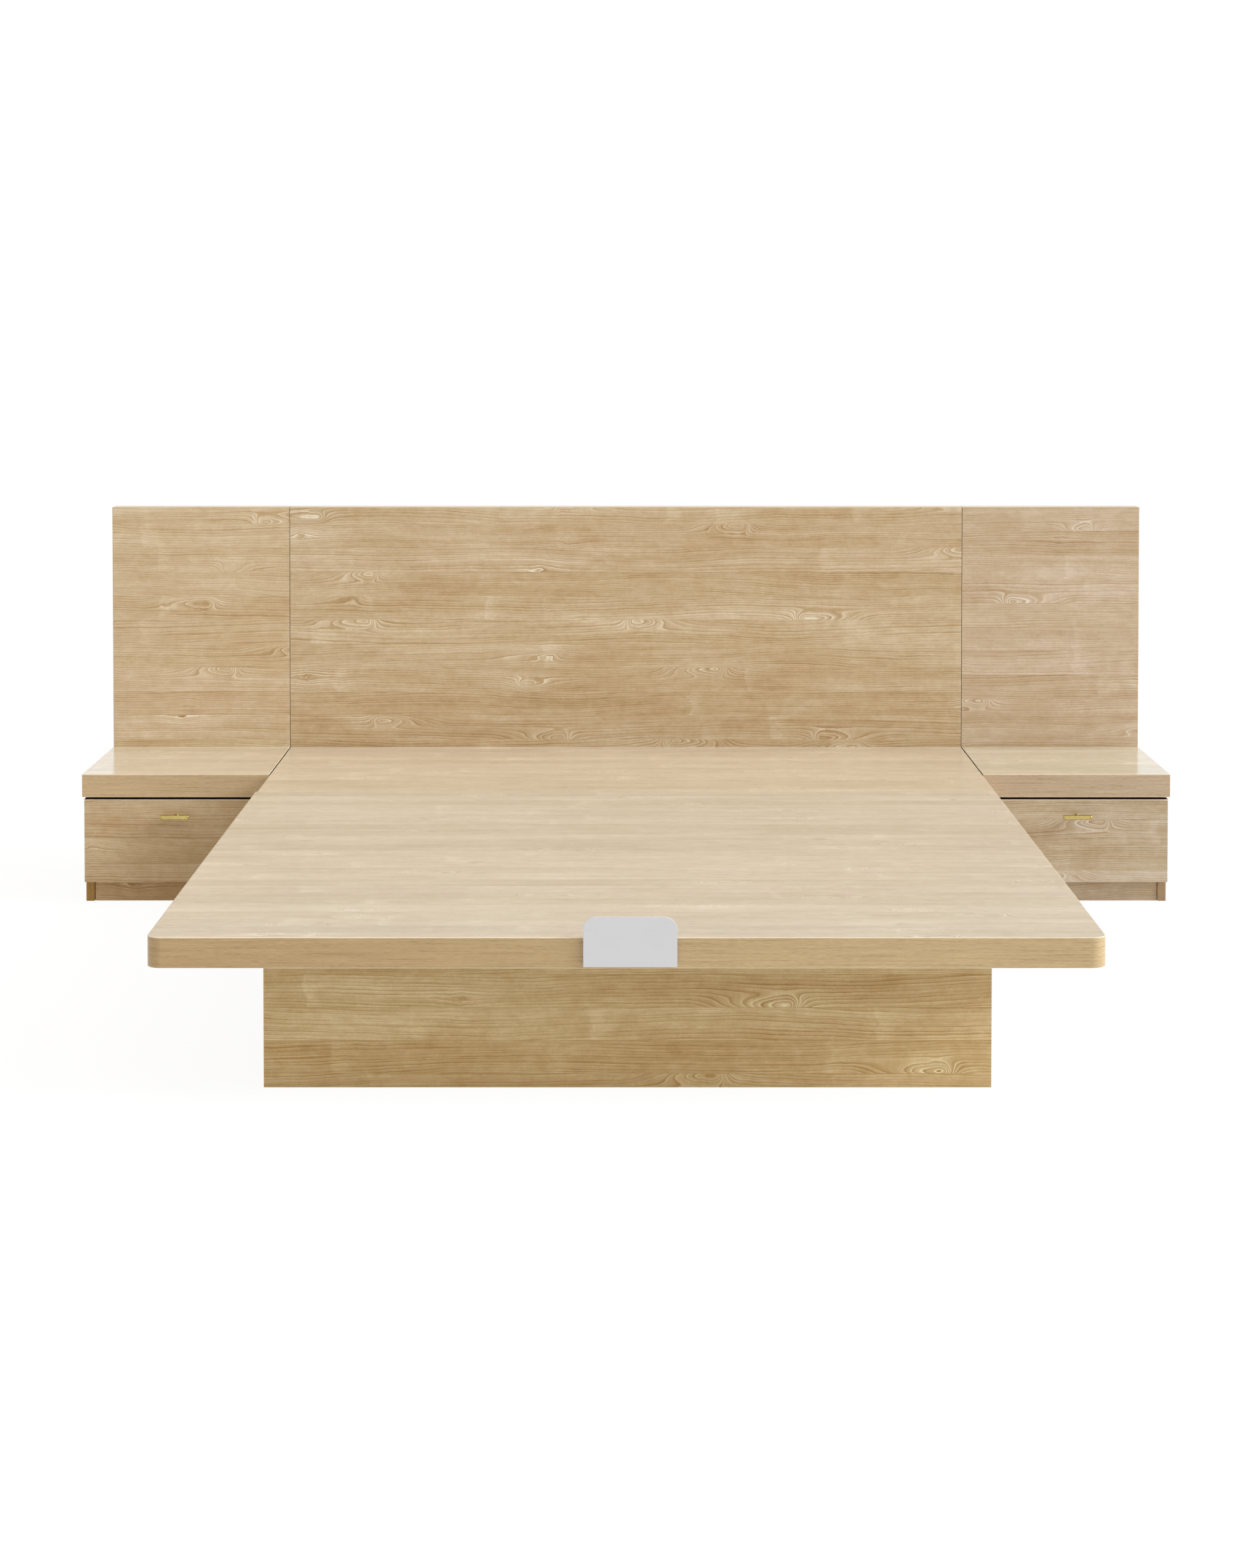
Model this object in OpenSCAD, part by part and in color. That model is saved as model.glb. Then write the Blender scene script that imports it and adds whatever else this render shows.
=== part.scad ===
// Low platform bed with a three-panel headboard and a one-drawer nightstand at each side.
// Origin at the floor under the middle of the whole piece; +Y towards the headboard, +Z up.

/* [Deck] */
// Width of the deck's head panel
deck_w = 1550; // [1400:5:1980]
// Length of the deck from the headboard to its front edge
deck_l = 2050; // [1950:5:2150]
// Height of the deck's top face above the floor
deck_top_h = 282; // [262:1:360]
// Thickness of the deck at its edges
deck_t = 50; // [36:1:70]
// Length of the head panel, up to the joint with the foot panel
head_panel_l = 627; // [450:1:1000]
// How far the foot panel's left edge stands outside the head panel's
foot_step = 4; // [0:0.5:8]
// Radius in plan of the two front corners
deck_corner_r = 25; // [8:1:60]

/* [Boards] */
// Thickness of the laminated boards
board_t = 18; // [15:1:22]
// Thickness of the edge banding
band_t = 1; // [0.5:0.1:2]
// Width of the build-up strips under the thick edges
strip_w = 60; // [50:1:90]
// Open joint left between neighbouring strips
strip_gap = 0.5; // [0.3:0.1:2]
// How far a landing strip reaches outside the pedestal board under it
landing_out = 12; // [0:1:20]
// How far a landing strip reaches inside the pedestal board under it
landing_in = 50; // [45:1:70]

/* [Headboard] */
// Height of the headboard above the floor
head_h = 838; // [700:1:1100]
// Thickness of the headboard
head_t = 50; // [36:1:70]
// Open joint between two headboard panels
head_joint = 1; // [0.5:0.1:3]

/* [Pedestal] */
// How far the pedestal's sides stand in from the deck's side edges
pedestal_side_recess = 169; // [145:1:275]
// How far the pedestal's front board stands behind the deck's front edge
pedestal_recess = 142; // [90:1:300]
// Distance of the front cross boards behind the pedestal's front
cross_front = 600; // [300:5:800]
// Distance of the rear cross boards behind the joint of the deck's panels
cross_behind = 120; // [80:5:200]

/* [Mattress stop] */
// Width of the plate
stop_w = 152; // [100:1:240]
// How far the plate rises above the deck
stop_rise = 35; // [25:1:90]
// Offset of the plate from the middle of the deck
stop_x = 4; // [-20:1:20]
// Thickness of the sheet metal
stop_t = 2; // [1.5:0.1:4]
// Clear gap between the plate and the deck's front edge
stop_gap = 4; // [3:0.1:8]
// Inside radius of the bend
stop_bend_r = 3; // [1:0.1:3]
// Radius of the two upper corners
stop_corner_r = 21; // [4:1:24]
// Length of the flange under the deck
stop_flange = 50; // [36:1:55]

/* [Nightstand] */
// Width of a nightstand's top
stand_w = 408; // [360:1:520]
// Depth of a nightstand's top, from the headboard to its front edge
stand_d = 400; // [395:1:480]
// Gap between the deck and a nightstand
stand_gap = 2.5; // [1:0.1:6]
// Thickness of the top at its edges
top_t = 50; // [36:1:56]
// How far the top overhangs the front and sides
top_overhang = 4; // [0:0.5:12]
// Height of the kickboard
kick_h = 45; // [30:1:60]
// How far the kickboard stands behind the side boards' ends
kick_recess = 4; // [0:0.5:30]

/* [Drawer] */
// Thickness of the drawer front
front_t = 18; // [15:1:22]
// Shadow gap above the drawer front
front_top_gap = 3.5; // [2:0.1:8]
// Gap between the closed drawer front and the case behind it
front_case_gap = 1; // [0.5:0.1:3]
// Height of the drawer box
box_h = 120; // [100:1:134]
// Length of the drawer box behind its front
box_l = 350; // [340:1:352]
// Thickness of the drawer box's sides and back
box_t = 12; // [11:0.5:16]
// Height of the drawer box above the case's floor board
box_lift = 12; // [8:1:18]
// Thickness of the drawer's bottom
bottom_t = 5; // [3:0.5:7]
// Depth of the groove that holds the drawer's bottom
groove_d = 6; // [3:0.5:8]
// Height of the groove above the box's lower edge
groove_up = 10; // [6:1:12]
// Clearance of the drawer's bottom in its groove
groove_gap = 0.2; // [0.1:0.1:0.5]

/* [Runners] */
// Length of a runner
runner_l = 350; // [345:1:350]
// Space that a runner takes between the case and the drawer box
runner_t = 12.7; // [12.2:0.1:14]
// Height of a runner's cabinet member
runner_h = 45; // [42:1:50]
// Thickness of the runner members' webs
web_t = 1.2; // [1:0.1:1.5]
// Thickness of the runner members' flanges
flange_t = 1.5; // [1:0.1:2]
// Running clearance between two members
run_gap = 0.3; // [0.2:0.05:0.5]
// Distance of the middle member's web from the case side
middle_u = 4; // [3.5:0.1:4.5]
// How far the cabinet member's flanges reach from the case side
cabinet_reach = 10; // [8:0.1:11]
// How far the drawer member's flanges reach from its web
drawer_reach = 5.5; // [3:0.1:5.5]
// How far a runner starts behind the case's front edge
runner_inset = 2; // [1:0.5:4]
// Distance of a runner's screws from its ends
runner_screw_in = 40; // [20:1:100]

/* [Pull] */
// Length of the pull's bar
pull_l = 62; // [40:1:160]
// Diameter of the pull's bar
pull_d = 10; // [8:0.5:14]
// Diameter of the collar at each end of the bar
pull_collar_d = 10.8; // [8.5:0.1:15]
// Length of the collar at each end of the bar
pull_collar_l = 3; // [1:0.5:6]
// Distance of the bar's centre line from the drawer front's face
pull_reach = 20; // [18:1:40]
// Diameter of the post
post_d = 8; // [7:0.5:12]
// How far the foot at the base of the post stands out round it
foot_rim = 0.5; // [0.3:0.1:5]
// Thickness of the foot at the base of the post
foot_t = 1.5; // [1:0.5:4]
// Distance of the bar below the drawer front's upper edge
pull_drop = 38; // [25:1:90]

/* [Metal fittings] */
// Thickness of the splice plates and angle brackets
plate_t = 2; // [1.5:0.1:3]
// Length of a splice plate
splice_l = 116; // [110:1:118]
// Width of a splice plate
splice_w = 30; // [20:1:40]
// Distance of a splice plate's outer screws from its middle
splice_outer = 46; // [40:1:50]
// Distance of a splice plate's inner screws from its middle
splice_inner = 20; // [16:1:30]
// Height above the floor of the lower splice plates of the headboard
splice_low = 150; // [100:5:300]
// Distance below the headboard's top of the upper splice plates
splice_high = 180; // [100:5:300]
// Leg of an angle bracket
bracket_leg = 40; // [36:1:42]
// Length of an angle bracket along its corner
bracket_l = 60; // [40:1:80]
// Distance of a bracket's screws from its corner
bracket_screw = 26; // [24:1:32]
// Distance of a bracket's screws from its middle
bracket_pitch = 18; // [10:1:19]

/* [Fasteners] */
// Length of the plate screws under their heads
screw_l = 16; // [12:1:17]
// Length of the drawer's runner screws under their heads
short_screw_l = 10; // [8:1:11]
// Diameter of the screws' shanks
screw_d = 3.8; // [3:0.1:4.5]
// Diameter of the screws' heads
screw_head_d = 7.6; // [6:0.1:9]
// Thickness of the screws' heads
screw_head_t = 1.6; // [1:0.1:2]
// Clearance round a screw in wood
pilot_gap = 0.1; // [0.05:0.05:0.3]
// Clearance round a screw in metal
plate_gap = 0.35; // [0.2:0.05:0.6]
// Length of the connector bolts under their heads
bolt_l = 34; // [28:1:35]
// Diameter of the connector bolts
bolt_d = 6; // [5:0.5:8]
// Diameter of the connector bolts' heads
bolt_head_d = 13; // [11:0.5:16]
// Thickness of the connector bolts' heads
bolt_head_t = 3; // [2:0.5:4]
// Distance of a connector bolt from the nearest board
bolt_in = 60; // [50:1:90]
// Distance of a nightstand's bolts from its floor board and its top
bolt_up = 30; // [20:1:45]
// Length of the pull's screw under its head
pull_screw_l = 26; // [24:0.5:28]
// Depth of the threaded hole in the pull's post
post_bore = 12; // [11:0.5:14]
// Diameter of the cams that draw the drawer front home
cam_d = 14.6; // [12:0.1:16]
// Depth of a cam in the drawer's side
cam_depth = 9; // [7:0.5:9]
// Clearance of a cam in its pocket
cam_gap = 0.2; // [0.1:0.1:0.4]
// Distance of the cams from the drawer front
cam_in = 24; // [18:1:34]
// Height of the lower cams above the box's lower edge
cam_up = 32; // [28:1:40]

/* [Hidden] */
$fn = 48;
cut = 1; // how far a cutter runs past the face it opens

oak = "#c5ab86";
oak_top = "#d9c9ae";
oak_edge = "#bd9f77";
raw_board = "#cbb48f";
box_wood = "#d8c6a6";
plate_white = "#d6d6d6";
zinc = "#a9adb0";
brass = "#c9a650";

// Planes of the whole piece
overall_d = head_t + deck_l + stop_gap + stop_t;
y_back = overall_d / 2;
y_face = y_back - head_t;
y_foot = y_face - deck_l;
y_seam = y_face - head_panel_l;
z_under = deck_top_h - deck_t;
z_board = deck_top_h - board_t;
head_top = head_h - band_t;

// Nightstand, written for the right-hand one
joint_x = deck_w / 2 + stand_gap / 2;
stand_x0 = deck_w / 2 + stand_gap;
stand_x1 = stand_x0 + stand_w;
stand_y = y_face - stand_d;
case_h = deck_top_h - top_t;
case_x0 = stand_x0 + top_overhang;
case_x1 = stand_x1 - top_overhang;
inner_x0 = case_x0 + board_t;
inner_x1 = case_x1 - board_t;
front_y = stand_y + top_overhang;
box_y = front_y + front_t;
case_y = box_y + front_case_gap;
floor_z = kick_h + board_t;
front_top = case_h - front_top_gap;

// Drawer box and runners
box_x0 = inner_x0 + runner_t;
box_x1 = inner_x1 - runner_t;
box_z = floor_z + box_lift;
box_back_y = box_y + box_l;
runner_z = box_z + box_h / 2;
runner_y = case_y + runner_inset;
middle_h = runner_h - 2 * (flange_t + run_gap);
inner_h = middle_h - 2 * (flange_t + run_gap);
pull_x = (case_x0 + case_x1) / 2;
pull_z = front_top - pull_drop;

// Pedestal
ped_x = deck_w / 2 - pedestal_side_recess;
ped_in = ped_x - board_t;
ped_y0 = y_foot + pedestal_recess;
ped_y1 = y_face;
cross_y = [ped_y0 + cross_front, y_seam + cross_behind];
wing_x = (ped_x + deck_w / 2) / 2;
landing_w = landing_out + board_t + landing_in;

splice_pocket = plate_t + screw_head_t + 0.4;

// ---- Shapes that repeat ----

// A board or strip, from its lowest to its highest corner
module board(lo, hi) {
    translate(lo) cube(hi - lo);
}

// What is drawn for the right-hand nightstand, on the side that is asked for
module handed(hand) {
    if (hand == "left") mirror([1, 0, 0]) children();
    else children();
}

// Both the shape and its mirror image across the middle of the bed
module both_sides() {
    children();
    mirror([1, 0, 0]) children();
}

// A pan-head screw or bolt with its seat at z = 0 and its shank down
module fastener(length, d, head_d, head_t) {
    cylinder(h = head_t, d = head_d);
    translate([0, 0, -length]) cylinder(h = length, d = d);
}

module plate_screw() {
    fastener(screw_l, screw_d, screw_head_d, screw_head_t);
}

module connector_bolt() {
    fastener(bolt_l, bolt_d, bolt_head_d, bolt_head_t);
}

// The hole that a fastener makes in wood, from just above its seat to just past its tip
module pilot(length, d) {
    translate([0, 0, -length - pilot_gap])
        cylinder(h = length + pilot_gap + cut, d = d + 2 * pilot_gap);
}

module screw_pilot() {
    pilot(screw_l, screw_d);
}

module bolt_pilot() {
    pilot(bolt_l, bolt_d);
}

// The clearance hole for a screw in a sheet whose outer face is at z = 0
module sheet_hole(t) {
    translate([0, 0, -t - cut]) cylinder(h = t + 2 * cut, d = screw_d + 2 * plate_gap);
}

// ---- Where the steel fittings and their screws go ----

// Splice plate: lies on z = 0, long along X
module at_splice_screws() {
    for (x = [-splice_outer, -splice_inner, splice_inner, splice_outer])
        translate([x, 0, plate_t]) children();
}

module splice_plate() {
    difference() {
        translate([-splice_l / 2, -splice_w / 2, 0]) cube([splice_l, splice_w, plate_t]);
        at_splice_screws() sheet_hole(plate_t);
    }
}

// Back of the headboard, over its two joints
module at_head_splices() {
    for (x = [-joint_x, joint_x], z = [splice_low, head_h - splice_high])
        translate([x, y_back - splice_pocket, z]) rotate([-90, 0, 0]) children();
}

// Underside of the deck, across the joint of its two panels
module at_deck_splices() {
    for (x = [-wing_x, -ped_x / 2, ped_x / 2, wing_x])
        translate([x, y_seam, z_under]) rotate([0, 0, 90]) rotate([180, 0, 0]) children();
}

// Angle bracket: its legs lie on z = 0 and y = 0, reaching towards +Y and +Z
module at_bracket_screws() {
    for (x = [-bracket_pitch, bracket_pitch]) {
        translate([x, bracket_screw, plate_t]) children();
        translate([x, plate_t, bracket_screw]) rotate([-90, 0, 0]) children();
    }
}

module angle_bracket() {
    difference() {
        translate([-bracket_l / 2, 0, 0])
            rotate([90, 0, 90])
                linear_extrude(bracket_l)
                    polygon([[0, 0], [bracket_leg, 0], [bracket_leg, plate_t], [plate_t, plate_t],
                        [plate_t, bracket_leg], [0, bracket_leg]]);
        at_bracket_screws() sheet_hole(plate_t);
    }
}

// Corner of the headboard's face and the deck's underside, outside the pedestal
module at_headboard_brackets() {
    both_sides() translate([wing_x, y_face, z_under]) rotate([180, 0, 0]) children();
}

// Corner of a pedestal side board and the deck's landing strip
module at_deck_brackets() {
    both_sides()
        for (y = [(ped_y0 + cross_y[0]) / 2, (ped_y1 + cross_y[1]) / 2])
            translate([ped_in, y, z_under]) rotate([0, 0, -90]) rotate([180, 0, 0]) children();
}

// Upright inside corners of the pedestal, and one side of the spine at each end
module at_pedestal_brackets() {
    front = ped_y0 + board_t;
    rear = ped_y1 - board_t;
    z = z_under / 2;
    both_sides() {
        translate([ped_in, front, z]) rotate([0, -90, 0]) children();
        translate([ped_in, rear, z]) mirror([0, 1, 0]) rotate([0, -90, 0]) children();
    }
    translate([board_t / 2, front, z]) mirror([1, 0, 0]) rotate([0, -90, 0]) children();
    translate([board_t / 2, rear, z]) rotate([0, 0, 180]) rotate([0, -90, 0]) children();
}

// Flange of the mattress stop, from below
module at_stop_screws() {
    for (i = [-1, 0, 1])
        translate([stop_x + i * stop_w / 3, y_foot + (band_t + stop_flange) / 2, z_under - stop_t])
            rotate([180, 0, 0]) children();
}

// Cabinet members of one nightstand's runners, seen from inside the case
module at_cabinet_screws() {
    for (y = [runner_y + runner_screw_in, runner_y + runner_l - runner_screw_in]) {
        translate([inner_x0 + web_t, y, runner_z]) rotate([0, 90, 0]) children();
        translate([inner_x1 - web_t, y, runner_z]) rotate([0, -90, 0]) children();
    }
}

// Drawer members of one nightstand's runners
module at_drawer_screws() {
    for (y = [runner_y + runner_screw_in, runner_y + runner_l - runner_screw_in]) {
        translate([box_x0 - web_t, y, runner_z]) rotate([0, -90, 0]) children();
        translate([box_x1 + web_t, y, runner_z]) rotate([0, 90, 0]) children();
    }
}

// Bolts from a nightstand's back board into the headboard
module at_stand_bolts() {
    for (x = [inner_x0 + bolt_in, inner_x1 - bolt_in], z = [floor_z + bolt_up, case_h - bolt_up])
        translate([x, y_face - board_t, z]) rotate([90, 0, 0]) children();
}

// Bolts from the pedestal's rear board into the headboard
module at_pedestal_bolts() {
    both_sides()
        for (x = [board_t / 2 + bolt_in, ped_in - bolt_in])
            translate([x, y_face - board_t, z_under / 2]) rotate([90, 0, 0]) children();
}

// ---- Headboard ----

// Face board of one panel, from x0 to x1
module head_face(x0, x1) {
    board([x0, y_face, 0], [x1, y_face + board_t, head_top]);
}

// Rails and stiles behind one panel
module head_strips(x0, x1, stiles) {
    y0 = y_face + board_t;
    pitch = (x1 - x0 - strip_w) / (stiles - 1);
    board([x0, y0, 0], [x1, y_back, strip_w]);
    board([x0, y0, head_top - strip_w], [x1, y_back, head_top]);
    for (i = [0 : stiles - 1])
        board([x0 + i * pitch, y0, strip_w + strip_gap],
            [x0 + i * pitch + strip_w, y_back, head_top - strip_w - strip_gap]);
}

// Shallow housings that sink the splice plates below the headboard's back
module splice_housings() {
    at_head_splices() {
        translate([-splice_l / 2 - cut, -splice_w / 2 - cut, 0])
            cube([splice_l + 2 * cut, splice_w + 2 * cut, splice_pocket + cut]);
        at_splice_screws() screw_pilot();
    }
}

centre_x = joint_x - head_joint / 2;
side_x0 = joint_x + head_joint / 2;
side_x1 = stand_x1 - band_t;

module headboard_centre_board() {
    color(oak) difference() {
        head_face(-centre_x, centre_x);
        at_pedestal_bolts() bolt_pilot();
        at_headboard_brackets() at_bracket_screws() screw_pilot();
    }
}

module headboard_centre_frame() {
    color(raw_board) difference() {
        head_strips(-centre_x, centre_x, 4);
        splice_housings();
    }
}

module headboard_side_board(hand) {
    color(oak) difference() {
        handed(hand) head_face(side_x0, side_x1);
        handed(hand) at_stand_bolts() bolt_pilot();
    }
}

module headboard_side_frame(hand) {
    color(raw_board) difference() {
        handed(hand) head_strips(side_x0, side_x1, 2);
        splice_housings();
    }
}

module headboard_left_board() { headboard_side_board("left"); }
module headboard_left_frame() { headboard_side_frame("left"); }
module headboard_right_board() { headboard_side_board("right"); }
module headboard_right_frame() { headboard_side_frame("right"); }

// Banding on the top edge of each panel and on the two outer edges
module headboard_edging() {
    color(oak_edge) {
        board([-centre_x, y_face, head_top], [centre_x, y_back, head_h]);
        both_sides() {
            board([side_x0, y_face, head_top], [stand_x1, y_back, head_h]);
            board([side_x1, y_face, 0], [stand_x1, y_back, head_top - strip_gap]);
        }
    }
}

module splice_plates() {
    color(zinc) {
        at_head_splices() splice_plate();
        at_deck_splices() splice_plate();
    }
}

module headboard_brackets() {
    color(zinc) at_headboard_brackets() angle_bracket();
}

// ---- Deck ----

// Plan of the foot panel, drawn in from its edges by inset and run past the joint by over
module foot_plan(inset, over) {
    x0 = -deck_w / 2 - foot_step + inset;
    x1 = deck_w / 2 - inset;
    y0 = y_foot + inset;
    r = deck_corner_r - inset;
    translate([x0, y0 + r]) square([x1 - x0, y_seam + over - y0 - r]);
    translate([x0 + r, y0]) square([x1 - x0 - 2 * r, r]);
    for (x = [x0 + r, x1 - r]) translate([x, y0 + r]) circle(r);
}

foot_x0 = -deck_w / 2 - foot_step + band_t;
foot_x1 = deck_w / 2 - band_t;

// Screws that reach the deck's strips from below
module deck_pilots() {
    at_deck_splices() at_splice_screws() screw_pilot();
    at_deck_brackets() at_bracket_screws() screw_pilot();
    at_headboard_brackets() at_bracket_screws() screw_pilot();
    at_stop_screws() screw_pilot();
}

// A strip under the deck, given in plan
module deck_strip(x0, x1, y0, y1) {
    board([x0, y0, z_under], [x1, y1, z_board]);
}

// Landing strips over the pedestal's side boards and spine
module landing_strips(y0, y1) {
    deck_strip(-landing_w / 2, landing_w / 2, y0, y1);
    both_sides() deck_strip(ped_in - landing_in, ped_x + landing_out, y0, y1);
}

module deck_head_board() {
    color(oak_top)
        board([-deck_w / 2 + band_t, y_seam, z_board], [deck_w / 2 - band_t, y_face, deck_top_h]);
}

module deck_head_frame() {
    x1 = deck_w / 2 - band_t;
    y0 = y_seam + strip_w + strip_gap;
    y1 = y_face - strip_w - strip_gap;
    color(raw_board) difference() {
        union() {
            deck_strip(-x1, x1, y_seam, y_seam + strip_w);
            deck_strip(-x1, x1, y_face - strip_w, y_face);
            both_sides() deck_strip(x1 - strip_w, x1, y0, y1);
            landing_strips(y0, y1);
        }
        deck_pilots();
    }
}

module deck_foot_board() {
    color(oak_top) translate([0, 0, z_board]) linear_extrude(board_t) foot_plan(band_t, 0);
}

module deck_foot_frame() {
    cross_y0 = ped_y0 - landing_out;
    cross_y1 = ped_y0 + board_t + landing_in;
    y1 = y_seam - strip_w - strip_gap;
    color(raw_board) difference() {
        union() {
            translate([0, 0, z_under])
                linear_extrude(deck_t - board_t)
                    intersection() {
                        foot_plan(band_t, 0);
                        translate([foot_x0, y_foot]) square([foot_x1 - foot_x0, strip_w]);
                    }
            for (x = [foot_x0, foot_x1 - strip_w])
                deck_strip(x, x + strip_w, y_foot + strip_w + strip_gap, y1);
            deck_strip(foot_x0, foot_x1, y_seam - strip_w, y_seam);
            deck_strip(foot_x0 + strip_w + strip_gap, foot_x1 - strip_w - strip_gap, cross_y0, cross_y1);
            landing_strips(cross_y1 + strip_gap, y1);
        }
        deck_pilots();
    }
}

module deck_edging() {
    color(oak_edge) {
        translate([0, 0, z_under]) difference() {
            linear_extrude(deck_t) foot_plan(0, 0);
            translate([0, 0, -cut]) linear_extrude(deck_t + 2 * cut) foot_plan(band_t, cut);
        }
        both_sides()
            board([deck_w / 2 - band_t, y_seam + strip_gap, z_under], [deck_w / 2, y_face, deck_top_h]);
    }
}

// ---- Pedestal ----

module pedestal_pilots() {
    at_pedestal_brackets() at_bracket_screws() screw_pilot();
}

module pedestal_front_board() {
    color(oak) difference() {
        board([-ped_x, ped_y0, 0], [ped_x, ped_y0 + board_t, z_under]);
        pedestal_pilots();
    }
}

module pedestal_side_board(hand) {
    color(oak) difference() {
        handed(hand) board([ped_in, ped_y0 + board_t, 0], [ped_x, ped_y1 - board_t, z_under]);
        pedestal_pilots();
        at_deck_brackets() at_bracket_screws() screw_pilot();
    }
}

module pedestal_left_board() { pedestal_side_board("left"); }
module pedestal_right_board() { pedestal_side_board("right"); }

module pedestal_rear_board() {
    color(oak) difference() {
        board([-ped_x, ped_y1 - board_t, 0], [ped_x, ped_y1, z_under]);
        pedestal_pilots();
        at_pedestal_bolts() bolt_pilot();
    }
}

module pedestal_spine_board() {
    color(raw_board) difference() {
        board([-board_t / 2, ped_y0 + board_t, 0], [board_t / 2, ped_y1 - board_t, z_under]);
        pedestal_pilots();
    }
}

// Two half-width boards that stiffen the pedestal between its spine and its sides
module cross_boards(y) {
    color(raw_board) both_sides()
        board([board_t / 2, y - board_t / 2, 0], [ped_in, y + board_t / 2, z_under]);
}

module pedestal_front_cross_boards() { cross_boards(cross_y[0]); }
module pedestal_rear_cross_boards() { cross_boards(cross_y[1]); }

module pedestal_brackets() {
    color(zinc) at_pedestal_brackets() angle_bracket();
}

module deck_brackets() {
    color(zinc) at_deck_brackets() angle_bracket();
}

// ---- Mattress stop: one sheet, bent under the deck's front edge ----

module mattress_stop() {
    y_in = y_foot - stop_gap;
    bend_y = y_in + stop_bend_r;
    bend_z = z_under + stop_bend_r;
    outer_r = stop_bend_r + stop_t;
    top = deck_top_h + stop_rise;
    half = stop_w / 2;
    color(plate_white) translate([stop_x, 0, 0]) difference() {
        union() {
            translate([0, y_in, 0]) rotate([90, 0, 0]) linear_extrude(stop_t) {
                translate([-half, bend_z]) square([stop_w, top - stop_corner_r - bend_z]);
                translate([-half + stop_corner_r, top - stop_corner_r])
                    square([stop_w - 2 * stop_corner_r, stop_corner_r]);
                for (x = [-half + stop_corner_r, half - stop_corner_r])
                    translate([x, top - stop_corner_r]) circle(stop_corner_r);
            }
            translate([-half, bend_y, bend_z]) rotate([90, 0, 90]) linear_extrude(stop_w) difference() {
                circle(outer_r);
                circle(stop_bend_r);
                translate([0, -2 * outer_r]) square(4 * outer_r);
                translate([-2 * outer_r, 0]) square(4 * outer_r);
            }
            board([-half, bend_y, z_under - stop_t], [half, y_foot + stop_flange, z_under]);
        }
        translate([-stop_x, 0, 0]) at_stop_screws() sheet_hole(stop_t);
    }
}

// ---- Screws and bolts of the fixed frame ----

module frame_screws() {
    color(zinc) {
        at_head_splices() at_splice_screws() plate_screw();
        at_deck_splices() at_splice_screws() plate_screw();
        at_headboard_brackets() at_bracket_screws() plate_screw();
        at_deck_brackets() at_bracket_screws() plate_screw();
        at_pedestal_brackets() at_bracket_screws() plate_screw();
        at_stop_screws() plate_screw();
        both_sides() at_cabinet_screws() plate_screw();
    }
}

module connector_bolts() {
    color(zinc) {
        at_pedestal_bolts() connector_bolt();
        both_sides() at_stand_bolts() connector_bolt();
    }
}

// ---- Nightstand case ----

module top_board() {
    color(oak_top)
        board([stand_x0 + band_t, stand_y + band_t, z_board], [stand_x1 - band_t, y_face, deck_top_h]);
}

// Build-up strips under the four edges of the top
module top_frame() {
    x0 = stand_x0 + band_t;
    x1 = stand_x1 - band_t;
    y0 = stand_y + band_t;
    color(raw_board) {
        board([x0, y0, case_h], [x1, y0 + strip_w, z_board]);
        board([x0, y_face - strip_w, case_h], [x1, y_face, z_board]);
        for (x = [x0, x1 - strip_w])
            board([x, y0 + strip_w + strip_gap, case_h],
                [x + strip_w, y_face - strip_w - strip_gap, z_board]);
    }
}

module top_edging() {
    y0 = stand_y + band_t;
    color(oak_edge) {
        board([stand_x0, stand_y, case_h], [stand_x1, y0, deck_top_h]);
        for (x = [stand_x0, stand_x1 - band_t])
            board([x, y0, case_h], [x + band_t, y_face, deck_top_h]);
    }
}

module outer_side() {
    color(oak) difference() {
        board([inner_x1, case_y, 0], [case_x1, y_face, case_h]);
        at_cabinet_screws() screw_pilot();
    }
}

module inner_side() {
    color(oak) difference() {
        board([case_x0, case_y, 0], [inner_x0, y_face, case_h]);
        at_cabinet_screws() screw_pilot();
    }
}

module back_board() {
    color(raw_board) difference() {
        board([inner_x0, y_face - board_t, 0], [inner_x1, y_face, case_h]);
        at_stand_bolts() bolt_pilot();
    }
}

module floor_board() {
    color(oak) board([inner_x0, case_y, kick_h], [inner_x1, y_face - board_t, floor_z]);
}

module kickboard() {
    y0 = case_y + kick_recess;
    color(oak) board([inner_x0, y0, 0], [inner_x1, y0 + board_t, kick_h]);
}

// ---- Runners: three nested channels at each side of a drawer ----

// Cross-section of a channel whose web lies from u0 to u1 and whose flanges reach to u_tip
module channel(u0, u1, u_tip, height) {
    low = min(u0, u_tip);
    high = max(u1, u_tip);
    translate([u0, -height / 2]) square([u1 - u0, height]);
    for (v = [-height / 2, height / 2 - flange_t])
        translate([low, v]) square([high - low, flange_t]);
}

// A runner member at both sides of the drawer, its section measured from the case side
module runner_pair() {
    for (side = [0, 1])
        translate([side ? inner_x1 : inner_x0, runner_y + runner_l, runner_z])
            mirror([side, 0, 0])
                rotate([90, 0, 0])
                    linear_extrude(runner_l) children();
}

module cabinet_runners() {
    color(zinc) difference() {
        runner_pair() channel(0, web_t, cabinet_reach, runner_h);
        at_cabinet_screws() sheet_hole(web_t);
    }
}

module middle_runners() {
    color(zinc) runner_pair() channel(middle_u, middle_u + web_t, runner_t - flange_t, middle_h);
}

module drawer_runners() {
    color(zinc) difference() {
        runner_pair() channel(runner_t - web_t, runner_t, runner_t - web_t - drawer_reach, inner_h);
        at_drawer_screws() sheet_hole(web_t);
    }
}

// ---- Drawer ----

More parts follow.
